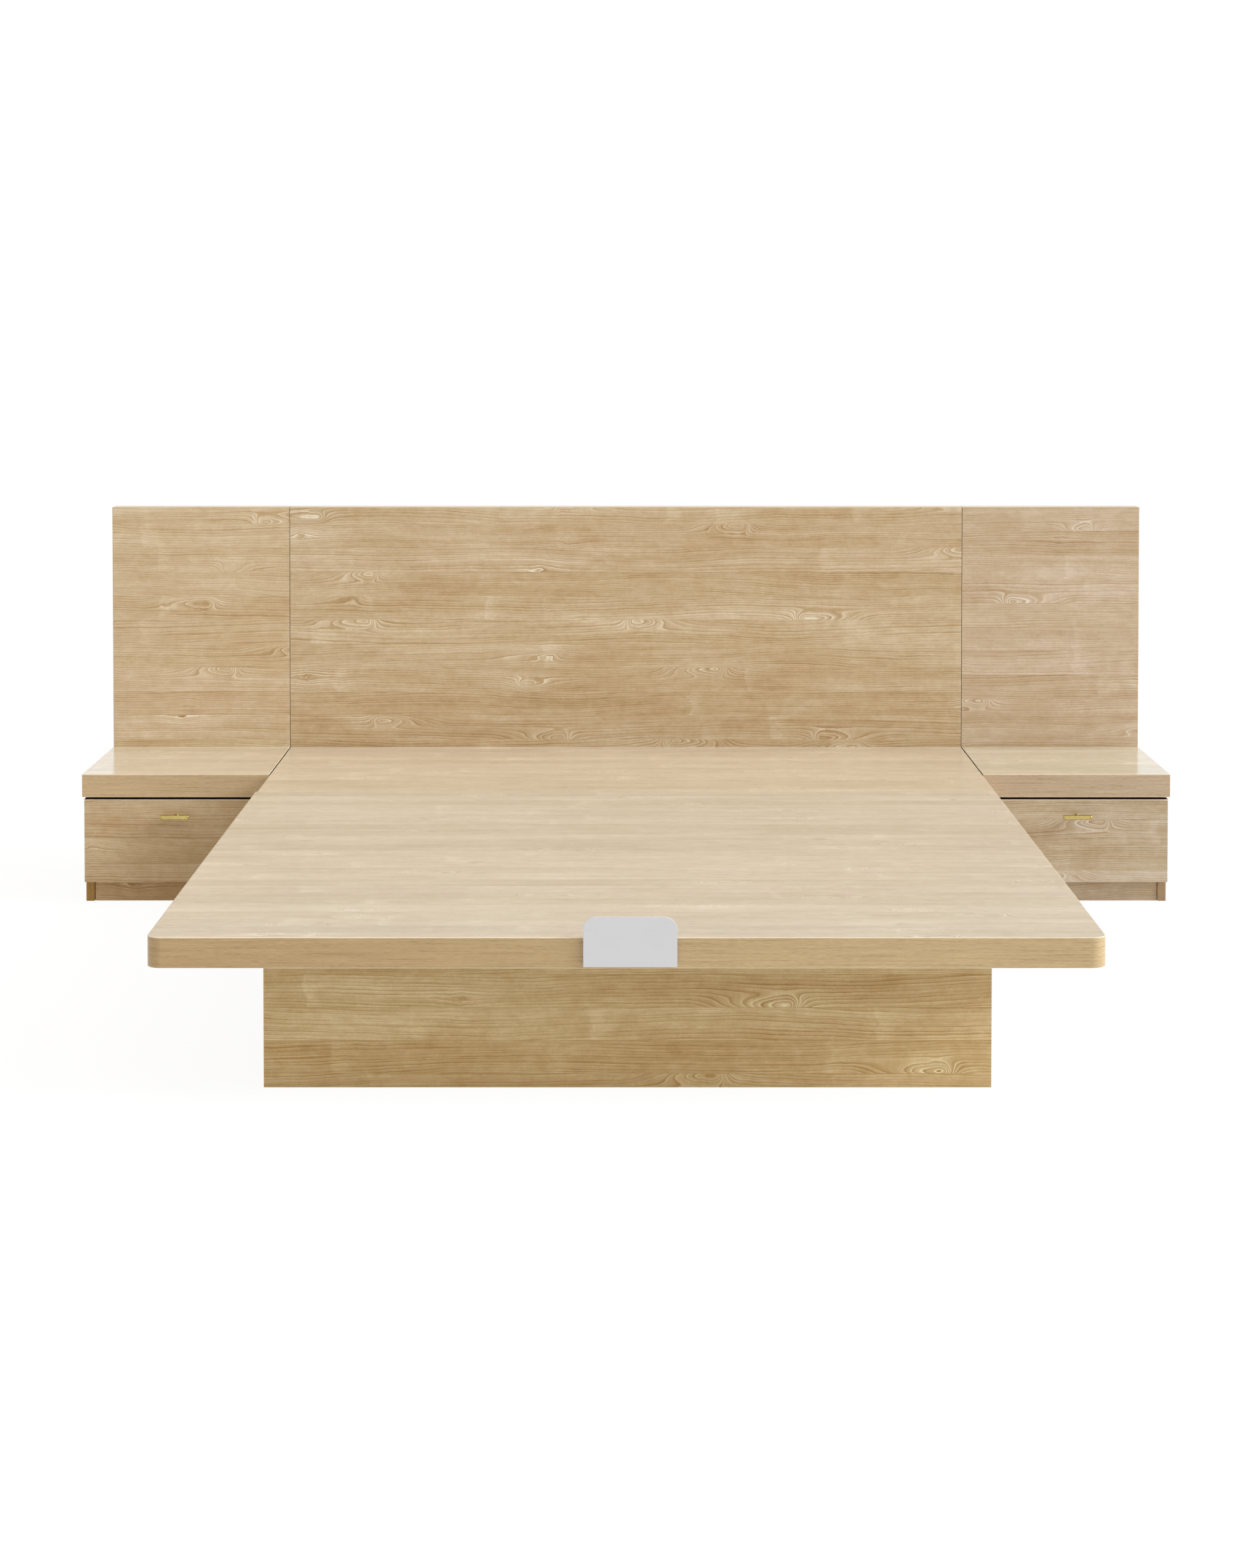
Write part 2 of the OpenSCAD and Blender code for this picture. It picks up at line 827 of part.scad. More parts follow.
module at_cams() {
    for (z = [box_z + cam_up, box_z + box_h - cam_up + groove_up]) {
        translate([box_x0 + box_t, box_y + cam_in, z]) rotate([0, 90, 0]) children();
        translate([box_x1 - box_t, box_y + cam_in, z]) rotate([0, -90, 0]) children();
    }
}

module cam() {
    slot_w = cam_d / 9;
    difference() {
        translate([0, 0, -cam_depth]) cylinder(h = cam_depth, d = cam_d);
        for (a = [0, 90])
            rotate([0, 0, a])
                translate([-cam_d / 4, -slot_w / 2, -slot_w])
                    cube([cam_d / 2, slot_w, slot_w + cut]);
    }
}

module cam_pocket() {
    translate([0, 0, -cam_depth - cam_gap])
        cylinder(h = cam_depth + cam_gap + cut, d = cam_d + 2 * cam_gap);
}

// The groove that the bottom slides into, on all four walls
module bottom_groove() {
    z0 = box_z + groove_up - groove_gap;
    board([box_x0 + box_t - groove_d - groove_gap, box_y - groove_d - groove_gap, z0],
        [box_x1 - box_t + groove_d + groove_gap, box_back_y - box_t + groove_d + groove_gap,
            z0 + bottom_t + 2 * groove_gap]);
}

module drawer_front() {
    color(oak) difference() {
        board([case_x0, front_y, kick_h], [case_x1, box_y, front_top]);
        bottom_groove();
        translate([pull_x, box_y, pull_z]) rotate([-90, 0, 0]) pilot(front_t + cut, screw_d);
    }
}

module drawer_sides() {
    color(box_wood) difference() {
        for (x = [box_x0, box_x1 - box_t])
            board([x, box_y, box_z], [x + box_t, box_back_y, box_z + box_h]);
        bottom_groove();
        at_cams() cam_pocket();
        at_drawer_screws() pilot(short_screw_l, screw_d);
    }
}

module drawer_back() {
    color(box_wood) difference() {
        board([box_x0 + box_t, box_back_y - box_t, box_z], [box_x1 - box_t, box_back_y, box_z + box_h]);
        bottom_groove();
    }
}

module drawer_bottom() {
    z0 = box_z + groove_up;
    color(box_wood)
        board([box_x0 + box_t - groove_d, box_y - groove_d, z0],
            [box_x1 - box_t + groove_d, box_back_y - box_t + groove_d, z0 + bottom_t]);
}

// Bar on one post, turned from one piece
module pull() {
    color(brass) translate([pull_x, front_y, pull_z]) difference() {
        union() {
            translate([-pull_l / 2, -pull_reach, 0]) rotate([0, 90, 0]) cylinder(h = pull_l, d = pull_d);
            for (x = [-pull_l / 2, pull_l / 2 - pull_collar_l])
                translate([x, -pull_reach, 0])
                    rotate([0, 90, 0]) cylinder(h = pull_collar_l, d = pull_collar_d);
            rotate([90, 0, 0]) cylinder(h = pull_reach, d = post_d);
            rotate([90, 0, 0]) cylinder(h = foot_t, d = post_d + 2 * foot_rim);
        }
        translate([0, cut, 0])
            rotate([90, 0, 0]) cylinder(h = post_bore + cut, d = screw_d + 2 * pilot_gap);
    }
}

module drawer_fasteners() {
    color(zinc) {
        at_cams() cam();
        at_drawer_screws() fastener(short_screw_l, screw_d, screw_head_d, screw_head_t);
        translate([pull_x, box_y, pull_z]) rotate([-90, 0, 0])
            fastener(pull_screw_l, screw_d, screw_head_d, screw_head_t);
    }
}

// ---- Nodes ----

headboard_centre_board();
headboard_centre_frame();
headboard_left_board();
headboard_left_frame();
headboard_right_board();
headboard_right_frame();
headboard_edging();
splice_plates();
headboard_brackets();
deck_head_board();
deck_head_frame();
deck_foot_board();
deck_foot_frame();
deck_edging();
pedestal_front_board();
pedestal_left_board();
pedestal_right_board();
pedestal_rear_board();
pedestal_spine_board();
pedestal_front_cross_boards();
pedestal_rear_cross_boards();
pedestal_brackets();
deck_brackets();
mattress_stop();
frame_screws();
connector_bolts();
handed("left") top_board();  // left_top_board
handed("left") top_frame();  // left_top_frame
handed("left") top_edging();  // left_top_edging
handed("left") outer_side();  // left_outer_side
handed("left") inner_side();  // left_inner_side
handed("left") back_board();  // left_back_board
handed("left") floor_board();  // left_floor_board
handed("left") kickboard();  // left_kickboard
handed("left") cabinet_runners();  // left_cabinet_runners
handed("left") middle_runners();  // left_middle_runners
handed("left") drawer_front();  // left_drawer_front
handed("left") drawer_sides();  // left_drawer_sides
handed("left") drawer_back();  // left_drawer_back
handed("left") drawer_bottom();  // left_drawer_bottom
handed("left") drawer_runners();  // left_drawer_runners
handed("left") drawer_fasteners();  // left_drawer_fasteners
handed("left") pull();  // left_pull
top_board();  // right_top_board
top_frame();  // right_top_frame
top_edging();  // right_top_edging
outer_side();  // right_outer_side
inner_side();  // right_inner_side
back_board();  // right_back_board
floor_board();  // right_floor_board
kickboard();  // right_kickboard
cabinet_runners();  // right_cabinet_runners
middle_runners();  // right_middle_runners
drawer_front();  // right_drawer_front
drawer_sides();  // right_drawer_sides
drawer_back();  // right_drawer_back
drawer_bottom();  // right_drawer_bottom
drawer_runners();  // right_drawer_runners
drawer_fasteners();  // right_drawer_fasteners
pull();  // right_pull
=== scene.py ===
import math
from functools import partial

import bpy
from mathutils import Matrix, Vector


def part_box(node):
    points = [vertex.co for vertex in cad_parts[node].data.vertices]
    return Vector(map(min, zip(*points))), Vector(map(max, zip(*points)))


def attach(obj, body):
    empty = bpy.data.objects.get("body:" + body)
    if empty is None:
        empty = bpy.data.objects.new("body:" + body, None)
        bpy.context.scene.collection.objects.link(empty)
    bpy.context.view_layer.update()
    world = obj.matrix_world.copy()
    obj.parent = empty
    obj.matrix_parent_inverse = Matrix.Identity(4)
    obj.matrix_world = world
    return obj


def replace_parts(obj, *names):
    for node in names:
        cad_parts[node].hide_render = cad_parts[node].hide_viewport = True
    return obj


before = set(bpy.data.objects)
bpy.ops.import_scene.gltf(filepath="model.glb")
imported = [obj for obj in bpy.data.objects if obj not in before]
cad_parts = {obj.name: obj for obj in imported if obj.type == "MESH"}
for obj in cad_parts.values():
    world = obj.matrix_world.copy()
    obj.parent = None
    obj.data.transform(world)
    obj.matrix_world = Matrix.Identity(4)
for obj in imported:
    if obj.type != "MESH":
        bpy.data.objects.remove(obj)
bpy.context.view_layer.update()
scene = bpy.context.scene

# ---- Studio ------------------------------------------------------------------
# A white cyclorama: one pale floor that runs out of sight under a white sky, which lights the bed
# from overhead. The key lamp stands to the right and a little in front, with a wide one beside it.

MM = 0.001
PHOTO_W, PHOTO_H = 1725, 2156    # pixels
FOCAL_PX = 4016.82
AXIS_X_PX, AXIS_Y_PX = 854.05, 563.06    # where the lens axis meets the picture
CAMERA_PLACE = Vector((-10.3, -5731.2, 1298.9)) * MM
CAMERA_TILT = math.radians(2)
SENSOR = 36.0    # mm along the picture's long side
SKY_OVERHEAD = 1.10    # the sky's light overhead; it falls to none at the horizon
SKY_TINT = (1.03, 0.97, 0.856, 1)
WHITE = (1, 1, 1, 1)
FLOOR_R = 40
FLOOR_DROP = 0.5 * MM    # below the bed's feet
FLOOR_COLOUR = (0.80, 0.80, 0.80, 1)
FLOOR_GLOW = 0.935    # the camera sees the floor's own white,
FLOOR_CATCH = (0.08, 0.08, 0.08, 1)    # and this much of the light on it, so that the shadow shows
LAMP_COLOUR = (0.93, 1.0, 1.14)
# each lamp's strength, the degrees it spans, and the way its light goes
LAMPS = (("key", 1.80, 18, Vector((-1.25, 0.21, -0.625))),
         ("wide_key", 1.65, 50, Vector((-1.25, 0.32, -0.78))))


def node(tree, kind, **settings):
    made = tree.nodes.new(kind)
    for name, value in settings.items():
        setattr(made, name, value)
    return made


def feed(tree, socket, value):
    """Links a socket, or sets a plain value, on an input."""
    if isinstance(value, bpy.types.NodeSocket):
        tree.links.new(value, socket)
    elif value is not None:
        socket.default_value = value


def fed(tree, kind, **inputs):
    """A node with its inputs fed, each by its name."""
    made = tree.nodes.new(kind)
    for name, value in inputs.items():
        feed(tree, made.inputs[name], value)
    return made


def calc(tree, operation, *values):
    made = node(tree, "ShaderNodeMath", operation=operation)
    for socket, value in zip(made.inputs, values):
        feed(tree, socket, value)
    return made.outputs[0]


def by_lens(tree, for_light, for_lens):
    """One shader for light that falls on a surface, another for what the camera sees straight, in a
    gloss or through glass."""
    path = node(tree, "ShaderNodeLightPath").outputs
    seen = calc(tree, "MAXIMUM", path["Is Camera Ray"], path["Is Glossy Ray"])
    made = node(tree, "ShaderNodeMixShader")
    feed(tree, made.inputs[0], calc(tree, "MAXIMUM", seen, path["Is Transmission Ray"]))
    tree.links.new(for_light.outputs[0], made.inputs[1])
    tree.links.new(for_lens.outputs[0], made.inputs[2])
    return made.outputs[0]


def blank_material(name):
    material = bpy.data.materials.new(name)
    material.use_nodes = True
    material.node_tree.nodes.clear()
    return material, material.node_tree


world = bpy.data.worlds.new("white_sky")
world.use_nodes = True
scene.world = world
sky = world.node_tree
sky.nodes.clear()
towards = node(sky, "ShaderNodeSeparateXYZ")
sky.links.new(node(sky, "ShaderNodeTexCoord").outputs["Generated"], towards.inputs[0])
height = calc(sky, "MAXIMUM", towards.outputs["Z"], 0.0)
fill = fed(sky, "ShaderNodeBackground", Color=SKY_TINT, Strength=calc(sky, "MULTIPLY", height, SKY_OVERHEAD))
white = fed(sky, "ShaderNodeBackground", Color=WHITE)
sky.links.new(by_lens(sky, fill, white), node(sky, "ShaderNodeOutputWorld").inputs[0])

bpy.ops.object.select_all(action="DESELECT")
bpy.ops.mesh.primitive_circle_add(vertices=96, radius=FLOOR_R, fill_type="NGON", location=(0, 0, -FLOOR_DROP))
floor = bpy.context.object
floor.name = "studio_floor"
floor_paint, tree = blank_material("studio_floor_paint")
plain = fed(tree, "ShaderNodeBsdfDiffuse", Color=FLOOR_COLOUR)
catch = fed(tree, "ShaderNodeBsdfDiffuse", Color=FLOOR_CATCH)
glow = fed(tree, "ShaderNodeEmission", Strength=FLOOR_GLOW)
lit = node(tree, "ShaderNodeAddShader")
tree.links.new(catch.outputs[0], lit.inputs[0])
tree.links.new(glow.outputs[0], lit.inputs[1])
tree.links.new(by_lens(tree, plain, lit), node(tree, "ShaderNodeOutputMaterial").inputs[0])
floor.data.materials.append(floor_paint)

for name, strength, across, direction in LAMPS:
    light = bpy.data.lights.new(name, "SUN")
    light.energy, light.color, light.angle = strength, LAMP_COLOUR, math.radians(across)
    lamp = bpy.data.objects.new(name, light)
    lamp.rotation_mode = "QUATERNION"
    lamp.rotation_quaternion = direction.to_track_quat("-Z", "Y")
    scene.collection.objects.link(lamp)

camera = bpy.data.cameras.new("camera")
camera.sensor_width = SENSOR
camera.lens = FOCAL_PX / PHOTO_H * SENSOR
camera.shift_x = (PHOTO_W / 2 - AXIS_X_PX) / PHOTO_H
camera.shift_y = (AXIS_Y_PX - PHOTO_H / 2) / PHOTO_H
camera_stand = bpy.data.objects.new("camera", camera)
camera_stand.location = CAMERA_PLACE
camera_stand.rotation_euler = (math.pi / 2 - CAMERA_TILT, 0, 0)
scene.collection.objects.link(camera_stand)
scene.camera = camera_stand
scene.view_settings.view_transform = "Standard"

# ---- Headboard face boards ---------------------------------------------------
# Three 18 mm boards, flush, with a 1 mm open joint between them. They are faced with an oak-look
# laminate whose picture is strips 55 mm wide, laid level, each with its own tone, lines and eyes.
# Every board is cut from another part of the sheet, and its ends at the joints are painted near-black as
# shade in the joints.

STRIP = 55.5 * MM
STRIP_JOINT = 1.2 * MM    # width of the dark line that some strips have at one side
EYE_EVERY = 500 * MM    # this length of a strip holds one eye or knot at most,
PATCH_EVERY = 160 * MM    # and this length one pale patch
RING, RING_MORE = 4.2 * MM, 2.8 * MM    # how far apart growth lines lie at least, and how much more at most
EYES, KNOTS, PATCHES = 0.58, 0.18, 0.34    # the share of those lengths that holds one
FINE_ARRIS = 0.25 * MM
SMOOTH_UP_TO = math.radians(35)
LEVEL = (math.pi / 2, 0, 0)    # turns that lay the grain along X on an upright,
FLAT = (0, 0, 0)    # along X on a top
SIDEWAYS = (math.pi / 2, math.pi / 2, 0)    # and along Y on an upright
TURNED = (math.pi / 2, 0, math.pi)    # the same as LEVEL, the sheet turned end for end
X, Y, Z = 0, 1, 2    # the axes by number
NO_TINT = (1.0, 1.0, 1.0)
HUE_DRIFT = (1.0, 0.986, 1.010, 1)    # from the yellowest strips to the greyest
# colours of a laminate or a wood run from its darkest lines to its palest wood
OAK = ((0.404, 0.241, 0.090), (0.516, 0.354, 0.1755), (0.634, 0.486, 0.291),
       (0.769, 0.635, 0.4445), (0.894, 0.834, 0.654))
# near-black browns for the painted shade on faces inside gaps and joints
GAP_SHADE_COLOURS = ((0.026, 0.012, 0.007), (0.046, 0.023, 0.014))


def noise(tree, place, scale, detail=2.0, rough=0.5):
    """Smooth noise about 0.5 at a place given as three sockets or numbers. scale is its waves in a
    metre: one number, or one for each axis."""
    scales = scale if isinstance(scale, tuple) else (scale, scale, scale)
    at = node(tree, "ShaderNodeCombineXYZ")
    for socket, value, by in zip(at.inputs, place, scales):
        feed(tree, socket, calc(tree, "MULTIPLY", value, by))
    made = fed(tree, "ShaderNodeTexNoise", Vector=at.outputs[0], Scale=1.0, Detail=detail, Roughness=rough)
    return made.outputs[0]


def dice(tree, a, b):
    """Three random numbers between 0 and 1 for each pair of numbers."""
    at = node(tree, "ShaderNodeCombineXYZ")
    feed(tree, at.inputs[0], a)
    feed(tree, at.inputs[1], b)
    made = node(tree, "ShaderNodeTexWhiteNoise", noise_dimensions="2D")
    tree.links.new(at.outputs[0], made.inputs["Vector"])
    split = fed(tree, "ShaderNodeSeparateColor", Color=made.outputs["Color"])
    return split.outputs[0], split.outputs[1], split.outputs[2]


def axes(tree, vector):
    split = fed(tree, "ShaderNodeSeparateXYZ", Vector=vector)
    return split.outputs[0], split.outputs[1], split.outputs[2]


def step_up(tree, value, low, high):
    """0 below low, 1 above high, smooth between."""
    made = node(tree, "ShaderNodeMapRange", interpolation_type="SMOOTHSTEP")
    feed(tree, made.inputs["Value"], value)
    made.inputs["From Min"].default_value = low
    made.inputs["From Max"].default_value = high
    return made.outputs[0]


def step_down(tree, value, low, high):
    return calc(tree, "SUBTRACT", 1.0, step_up(tree, value, low, high))


def product(tree, first, *others):
    for other in others:
        first = calc(tree, "MULTIPLY", first, other)
    return first


def sway(tree, base, value, share):
    """A base, moved by a share of how far a value between 0 and 1 lies from its middle."""
    return calc(tree, "MULTIPLY_ADD", calc(tree, "SUBTRACT", value, 0.5), share, base)


def hill(tree, distance, width, power=2.0):
    """1 at no distance, and down to 0 on both sides."""
    ratio = calc(tree, "DIVIDE", calc(tree, "ABSOLUTE", distance), width)
    return calc(tree, "EXPONENT", calc(tree, "MULTIPLY", calc(tree, "POWER", ratio, power), -1.0))


def long_hill(tree, distance, width):
    """A hill with a rounded top and long flanks."""
    square = calc(tree, "POWER", calc(tree, "DIVIDE", distance, width), 2.0)
    return calc(tree, "POWER", calc(tree, "ADD", square, 1.0), -1.3)


def pale_patch(tree, place, row):
    """How pale a place of a strip is. A patch starts abruptly, on a slant, and fades out slowly."""
    do = partial(calc, tree)
    slant = noise(tree, place, (6.0, 45.0, 1.0), 1.0)
    length = do("DIVIDE", sway(tree, place[0], slant, 30 * MM), PATCH_EVERY)
    patch = do("FLOOR", length)
    start, reach, chance = dice(tree, patch, do("ADD", row, 0.25))
    run = do("SUBTRACT", do("SUBTRACT", length, patch), do("MULTIPLY", start, 0.45))
    run = do("DIVIDE", run, do("MULTIPLY_ADD", reach, 0.35, 0.18))
    there = step_up(tree, chance, 1 - PATCHES, 1.0)
    return product(tree, step_up(tree, run, 0.0, 0.14), step_down(tree, run, 0.10, 1.0), there)


def eye_or_knot(tree, place, row):
    """An eye lifts the growth lines and a knot parts them. Gives how far they move, how near the eye
    or knot is, and a knot's dark core."""
    do = partial(calc, tree)
    along, inside, _ = place
    cell = do("FLOOR", do("DIVIDE", along, EYE_EVERY))
    where, height, size = dice(tree, cell, row)
    kind, _, _ = dice(tree, cell, do("ADD", row, 0.5))

    # its centre lies in the middle third of that length, and more often at a side of the strip than inside
    centre = do("MULTIPLY", do("ADD", cell, do("MULTIPLY_ADD", where, 0.3, 0.35)), EYE_EVERY)
    level = do("MINIMUM", do("MAXIMUM", do("MULTIPLY_ADD", height, 2.6, -0.80), 0.0), 1.0)
    middle = do("MULTIPLY", level, STRIP)
    edgeness = do("ABSOLUTE", do("DIVIDE", do("SUBTRACT", middle, STRIP / 2), STRIP / 2))
    from_x = do("SUBTRACT", along, centre)
    from_y = do("SUBTRACT", inside, middle)
    window = step_down(tree, do("ABSOLUTE", from_x), 100 * MM, 170 * MM)
    is_eye = do("MULTIPLY", step_up(tree, size, 0.05, 0.40), do("LESS_THAN", kind, EYES))
    is_knot = do("MULTIPLY", step_up(tree, size, 0.05, 0.30), do("GREATER_THAN", kind, 1 - KNOTS))

    # an eye is a hill that is longer on one side of its centre, and highest at a side of the strip
    lean = do("MULTIPLY", do("SIGN", do("SUBTRACT", where, 0.5)), 0.6)
    lean = do("MULTIPLY_ADD", do("TANH", do("MULTIPLY", from_x, 60.0)), lean, 1.0)
    length = do("MULTIPLY", lean, do("MULTIPLY_ADD", size, 40 * MM, 30 * MM))
    width = do("MULTIPLY_ADD", edgeness, 6 * MM, 11 * MM)
    eye = do("MULTIPLY", long_hill(tree, from_x, length), hill(tree, from_y, width))
    eye = do("MULTIPLY", eye, do("MULTIPLY", window, is_eye))
    up_or_down = do("SIGN", do("SUBTRACT", height, 0.5))
    lift = product(tree, eye, up_or_down, do("MULTIPLY_ADD", edgeness, -28 * MM, -16 * MM))

    # a knot pushes the lines away from its middle, and has a dark core
    away = do("TANH", do("DIVIDE", from_y, 6 * MM))
    beside = do("MULTIPLY", hill(tree, from_x, 34 * MM, 1.3), window)
    part = product(tree, away, beside, hill(tree, from_y, 28 * MM))
    part = do("MULTIPLY", part, do("MULTIPLY", is_knot, -8.5 * MM))
    grit = noise(tree, place, (120.0, 260.0, 1.0), 2.0, 0.7)
    core = product(tree, hill(tree, from_x, 11 * MM), hill(tree, from_y, 7 * MM),
                   step_up(tree, grit, 0.40, 0.62), is_knot)

    near = product(tree, hill(tree, from_x, do("MULTIPLY_ADD", size, 40 * MM, 45 * MM)),
                   hill(tree, from_y, 22 * MM), do("MAXIMUM", is_knot, is_eye))
    return do("ADD", lift, part), near, core


def warped(tree, place, restless):
    """The place across a strip, gently warped, so that its level lines run as growth lines do. They
    shiver most where the strip is restless."""
    level = place[1]
    wave = noise(tree, place, (1.6, 5.0, 1.0), 1.0)
    ripple = noise(tree, place, (11.0, 22.0, 1.0), 1.0)
    shiver = noise(tree, place, (55.0, 35.0, 1.0), 2.0)
    shiver_by = calc(tree, "MULTIPLY_ADD", restless, 3.8 * MM, 1.2 * MM)
    for value, share in ((wave, 50 * MM), (ripple, 5 * MM), (shiver, shiver_by)):
        level = sway(tree, level, value, share)
    return level


def strip_figure():
    """Node group: the laminate's picture. The grain runs along the input's X, and the strips follow
    each other along its Y."""
    group = bpy.data.node_groups.new("strip_figure", "ShaderNodeTree")
    do = partial(calc, group)
    group.interface.new_socket("Vector", in_out="INPUT", socket_type="NodeSocketVector")
    for name in ("Tone", "Line", "Hue"):
        group.interface.new_socket(name, in_out="OUTPUT", socket_type="NodeSocketFloat")
    x, across, _ = axes(group, node(group, "NodeGroupInput").outputs[0])
    row = do("FLOOR", do("DIVIDE", across, STRIP))
    inside = do("SUBTRACT", across, do("MULTIPLY", row, STRIP))
    shift, tone, hue = dice(group, row, 3.0)
    spacing, _, edge = dice(group, row, 5.0)
    along = do("MULTIPLY_ADD", shift, 9.0, x)    # every strip comes from another part of the log,
    layer = do("MULTIPLY", row, 7.31)    # at another depth
    place = (along, inside, layer)
    blaze = pale_patch(group, place, row)
    moved, near, core = eye_or_knot(group, place, row)
    level = do("ADD", warped(group, place, do("ADD", blaze, near)), moved)
    grown = (along, level, layer)    # the place as the lines run

    # growth lines: each ring darkens slowly towards a thin line, and is pale just beside it
    uneven = noise(group, (level, along, layer), (110.0, 0.4, 1.0), 2.0)
    rings = do("DIVIDE", level, do("MULTIPLY_ADD", spacing, RING_MORE, RING))
    ring = do("FRACT", do("MULTIPLY_ADD", uneven, 1.8, rings))
    after = step_down(group, ring, 0.86, 1.0)
    thin = do("MULTIPLY", step_up(group, ring, 0.55, 0.85), after)
    soft = do("MULTIPLY", ring, after)
    crest = do("MAXIMUM", step_up(group, ring, 0.95, 1.0), step_down(group, ring, 0.0, 0.28))
    fade = noise(group, grown, (5.0, 120.0, 1.0), 2.0, 0.6)
    seen = do("MAXIMUM", step_up(group, fade, 0.38, 0.62), near)
    line = do("MULTIPLY", thin, do("MULTIPLY_ADD", seen, 0.85, 0.15))

    # streaks, fibres and mottle follow the lines, flecks and clouds don't, and some strips show their joint
    streak = noise(group, grown, (1.8, 60.0, 1.0), 2.0, 0.6)
    fibre = noise(group, grown, (16.0, 520.0, 1.0), 3.0, 0.8)
    mottle = noise(group, grown, (36.0, 52.0, 1.0), 3.0, 0.75)
    fleck = noise(group, place, (560.0, 190.0, 1.0), 2.0, 0.7)
    cloud = noise(group, place, (3.4, 12.0, 1.0), 2.0, 0.6)
    joint = do("MULTIPLY", do("LESS_THAN", inside, STRIP_JOINT), step_up(group, edge, 0.2, 0.8))

    total = sway(group, 0.55, tone, 0.17)
    for value, share in ((streak, 0.34), (fibre, 0.44), (fleck, 0.14), (mottle, 0.42), (cloud, 0.46)):
        total = sway(group, total, value, share)
    for value, share in ((line, -0.24), (soft, -0.10), (do("MULTIPLY", crest, seen), 0.07),
                         (do("MULTIPLY", crest, near), 0.34), (blaze, 0.12), (near, 0.06),
                         (core, -0.45), (joint, -0.16)):
        total = do("MULTIPLY_ADD", value, share, total)
    out = node(group, "NodeGroupOutput")
    feed(group, out.inputs["Tone"], total)
    feed(group, out.inputs["Line"], do("MULTIPLY_ADD", fibre, 0.5, line))
    feed(group, out.inputs["Hue"], hue)
    return group


FIGURE = strip_figure()


def on_piece(tree, turn=FLAT, shift=(0, 0, 0)):
    """Object coordinates, turned so that the grain runs along X, and moved to another part of the sheet."""
    on_object = node(tree, "ShaderNodeTexCoord").outputs["Object"]
    return fed(tree, "ShaderNodeMapping", Vector=on_object, Rotation=turn, Location=shift).outputs[0]


def colour_ramp(tree, value, colours):
    made = node(tree, "ShaderNodeValToRGB")
    feed(tree, made.inputs[0], value)
    stops = made.color_ramp.elements
    while len(stops) < len(colours):
        stops.new(0.5)
    for i, colour in enumerate(colours):
        stops[i].position = i / (len(colours) - 1)
        stops[i].color = (*colour, 1)
    return made.outputs[0]


def tinted(tree, colour, tint, share=1.0):
    """A colour times a tint, or a share of the way there."""
    made = node(tree, "ShaderNodeMix", data_type="RGBA", blend_type="MULTIPLY")
    feed(tree, made.inputs["Factor"], share)
    feed(tree, made.inputs["A"], colour)
    feed(tree, made.inputs["B"], tint)
    return made.outputs["Result"]


def finish_surface(material, colour, height, roughness, bump=0.12, depth=0.4 * MM, metallic=0.0, ior=1.5):
    """The Principled surface of a material: its colour, its relief and a roughness that follows that."""
    tree = material.node_tree
    surface = node(tree, "ShaderNodeBsdfPrincipled")
    feed(tree, surface.inputs["Base Color"], colour)
    surface.inputs["Metallic"].default_value = metallic
    surface.inputs["IOR"].default_value = ior
    spread = node(tree, "ShaderNodeMapRange")
    feed(tree, spread.inputs["Value"], height)
    spread.inputs["To Min"].default_value = roughness[0]
    spread.inputs["To Max"].default_value = roughness[1]
    tree.links.new(spread.outputs[0], surface.inputs["Roughness"])
    relief = fed(tree, "ShaderNodeBump", Strength=bump, Distance=depth, Height=height)
    tree.links.new(relief.outputs[0], surface.inputs["Normal"])
    tree.links.new(surface.outputs[0], node(tree, "ShaderNodeOutputMaterial").inputs[0])
    return material


def laminate(name, turn, shift, colours=OAK, contrast=1.12, tint=NO_TINT, roughness=(0.38, 0.55)):
    """Printed laminate with the strip figure, its grain laid by turn. The strips' hues differ a little,
    about the tint."""
    material, tree = blank_material(name)
    figure = node(tree, "ShaderNodeGroup", node_tree=FIGURE)
    tree.links.new(on_piece(tree, turn, shift), figure.inputs[0])
    tone = sway(tree, 0.5, figure.outputs["Tone"], contrast)
    colour = tinted(tree, colour_ramp(tree, tone, colours), HUE_DRIFT, figure.outputs["Hue"])
    return finish_surface(material, tinted(tree, colour, (*tint, 1)), figure.outputs["Line"], roughness)


def painted_gap_shade(name):
    """Painted shade for faces inside narrow gaps and joints: near-black brown, uneven as on chips, so that
    each gap reads as a shadow line.
    """
    material, tree = blank_material(name)
    uneven = noise(tree, axes(tree, on_piece(tree)), 160.0, 3.0, 0.7)
    colour = colour_ramp(tree, uneven, GAP_SHADE_COLOURS)
    return finish_surface(material, colour, uneven, (0.70, 0.90), bump=0.20, depth=0.2 * MM, ior=1.0)


def only(piece):
    """Selects one piece alone and makes it active."""
    bpy.ops.object.select_all(action="DESELECT")
    piece.select_set(True)
    bpy.context.view_layer.objects.active = piece


def shape(piece, select=None, mode="FACE"):
    """Opens a piece in edit mode with what select picks, by the normal and centre of a face or by the
    ends of an edge."""
    only(piece)
    bpy.ops.object.mode_set(mode="EDIT")
    bpy.ops.mesh.select_mode(type=mode)
    bpy.ops.mesh.select_all(action="DESELECT" if select else "SELECT")
    if not select:
        return
    bpy.ops.object.mode_set(mode="OBJECT")
    mesh = piece.data
    if mode == "FACE":
        for face in mesh.polygons:
            face.select = select(face.normal, face.center)
    else:
        for edge in mesh.edges:
            edge.select = select(*(mesh.vertices[v].co for v in edge.vertices))
    bpy.ops.object.mode_set(mode="EDIT")


def apply_modifier(piece, kind, **settings):
    """Gives the active piece a modifier and applies it."""
    added = piece.modifiers.new(kind.lower(), kind)
    for name, value in settings.items():
        setattr(added, name, value)
    bpy.ops.object.modifier_apply(modifier=added.name)


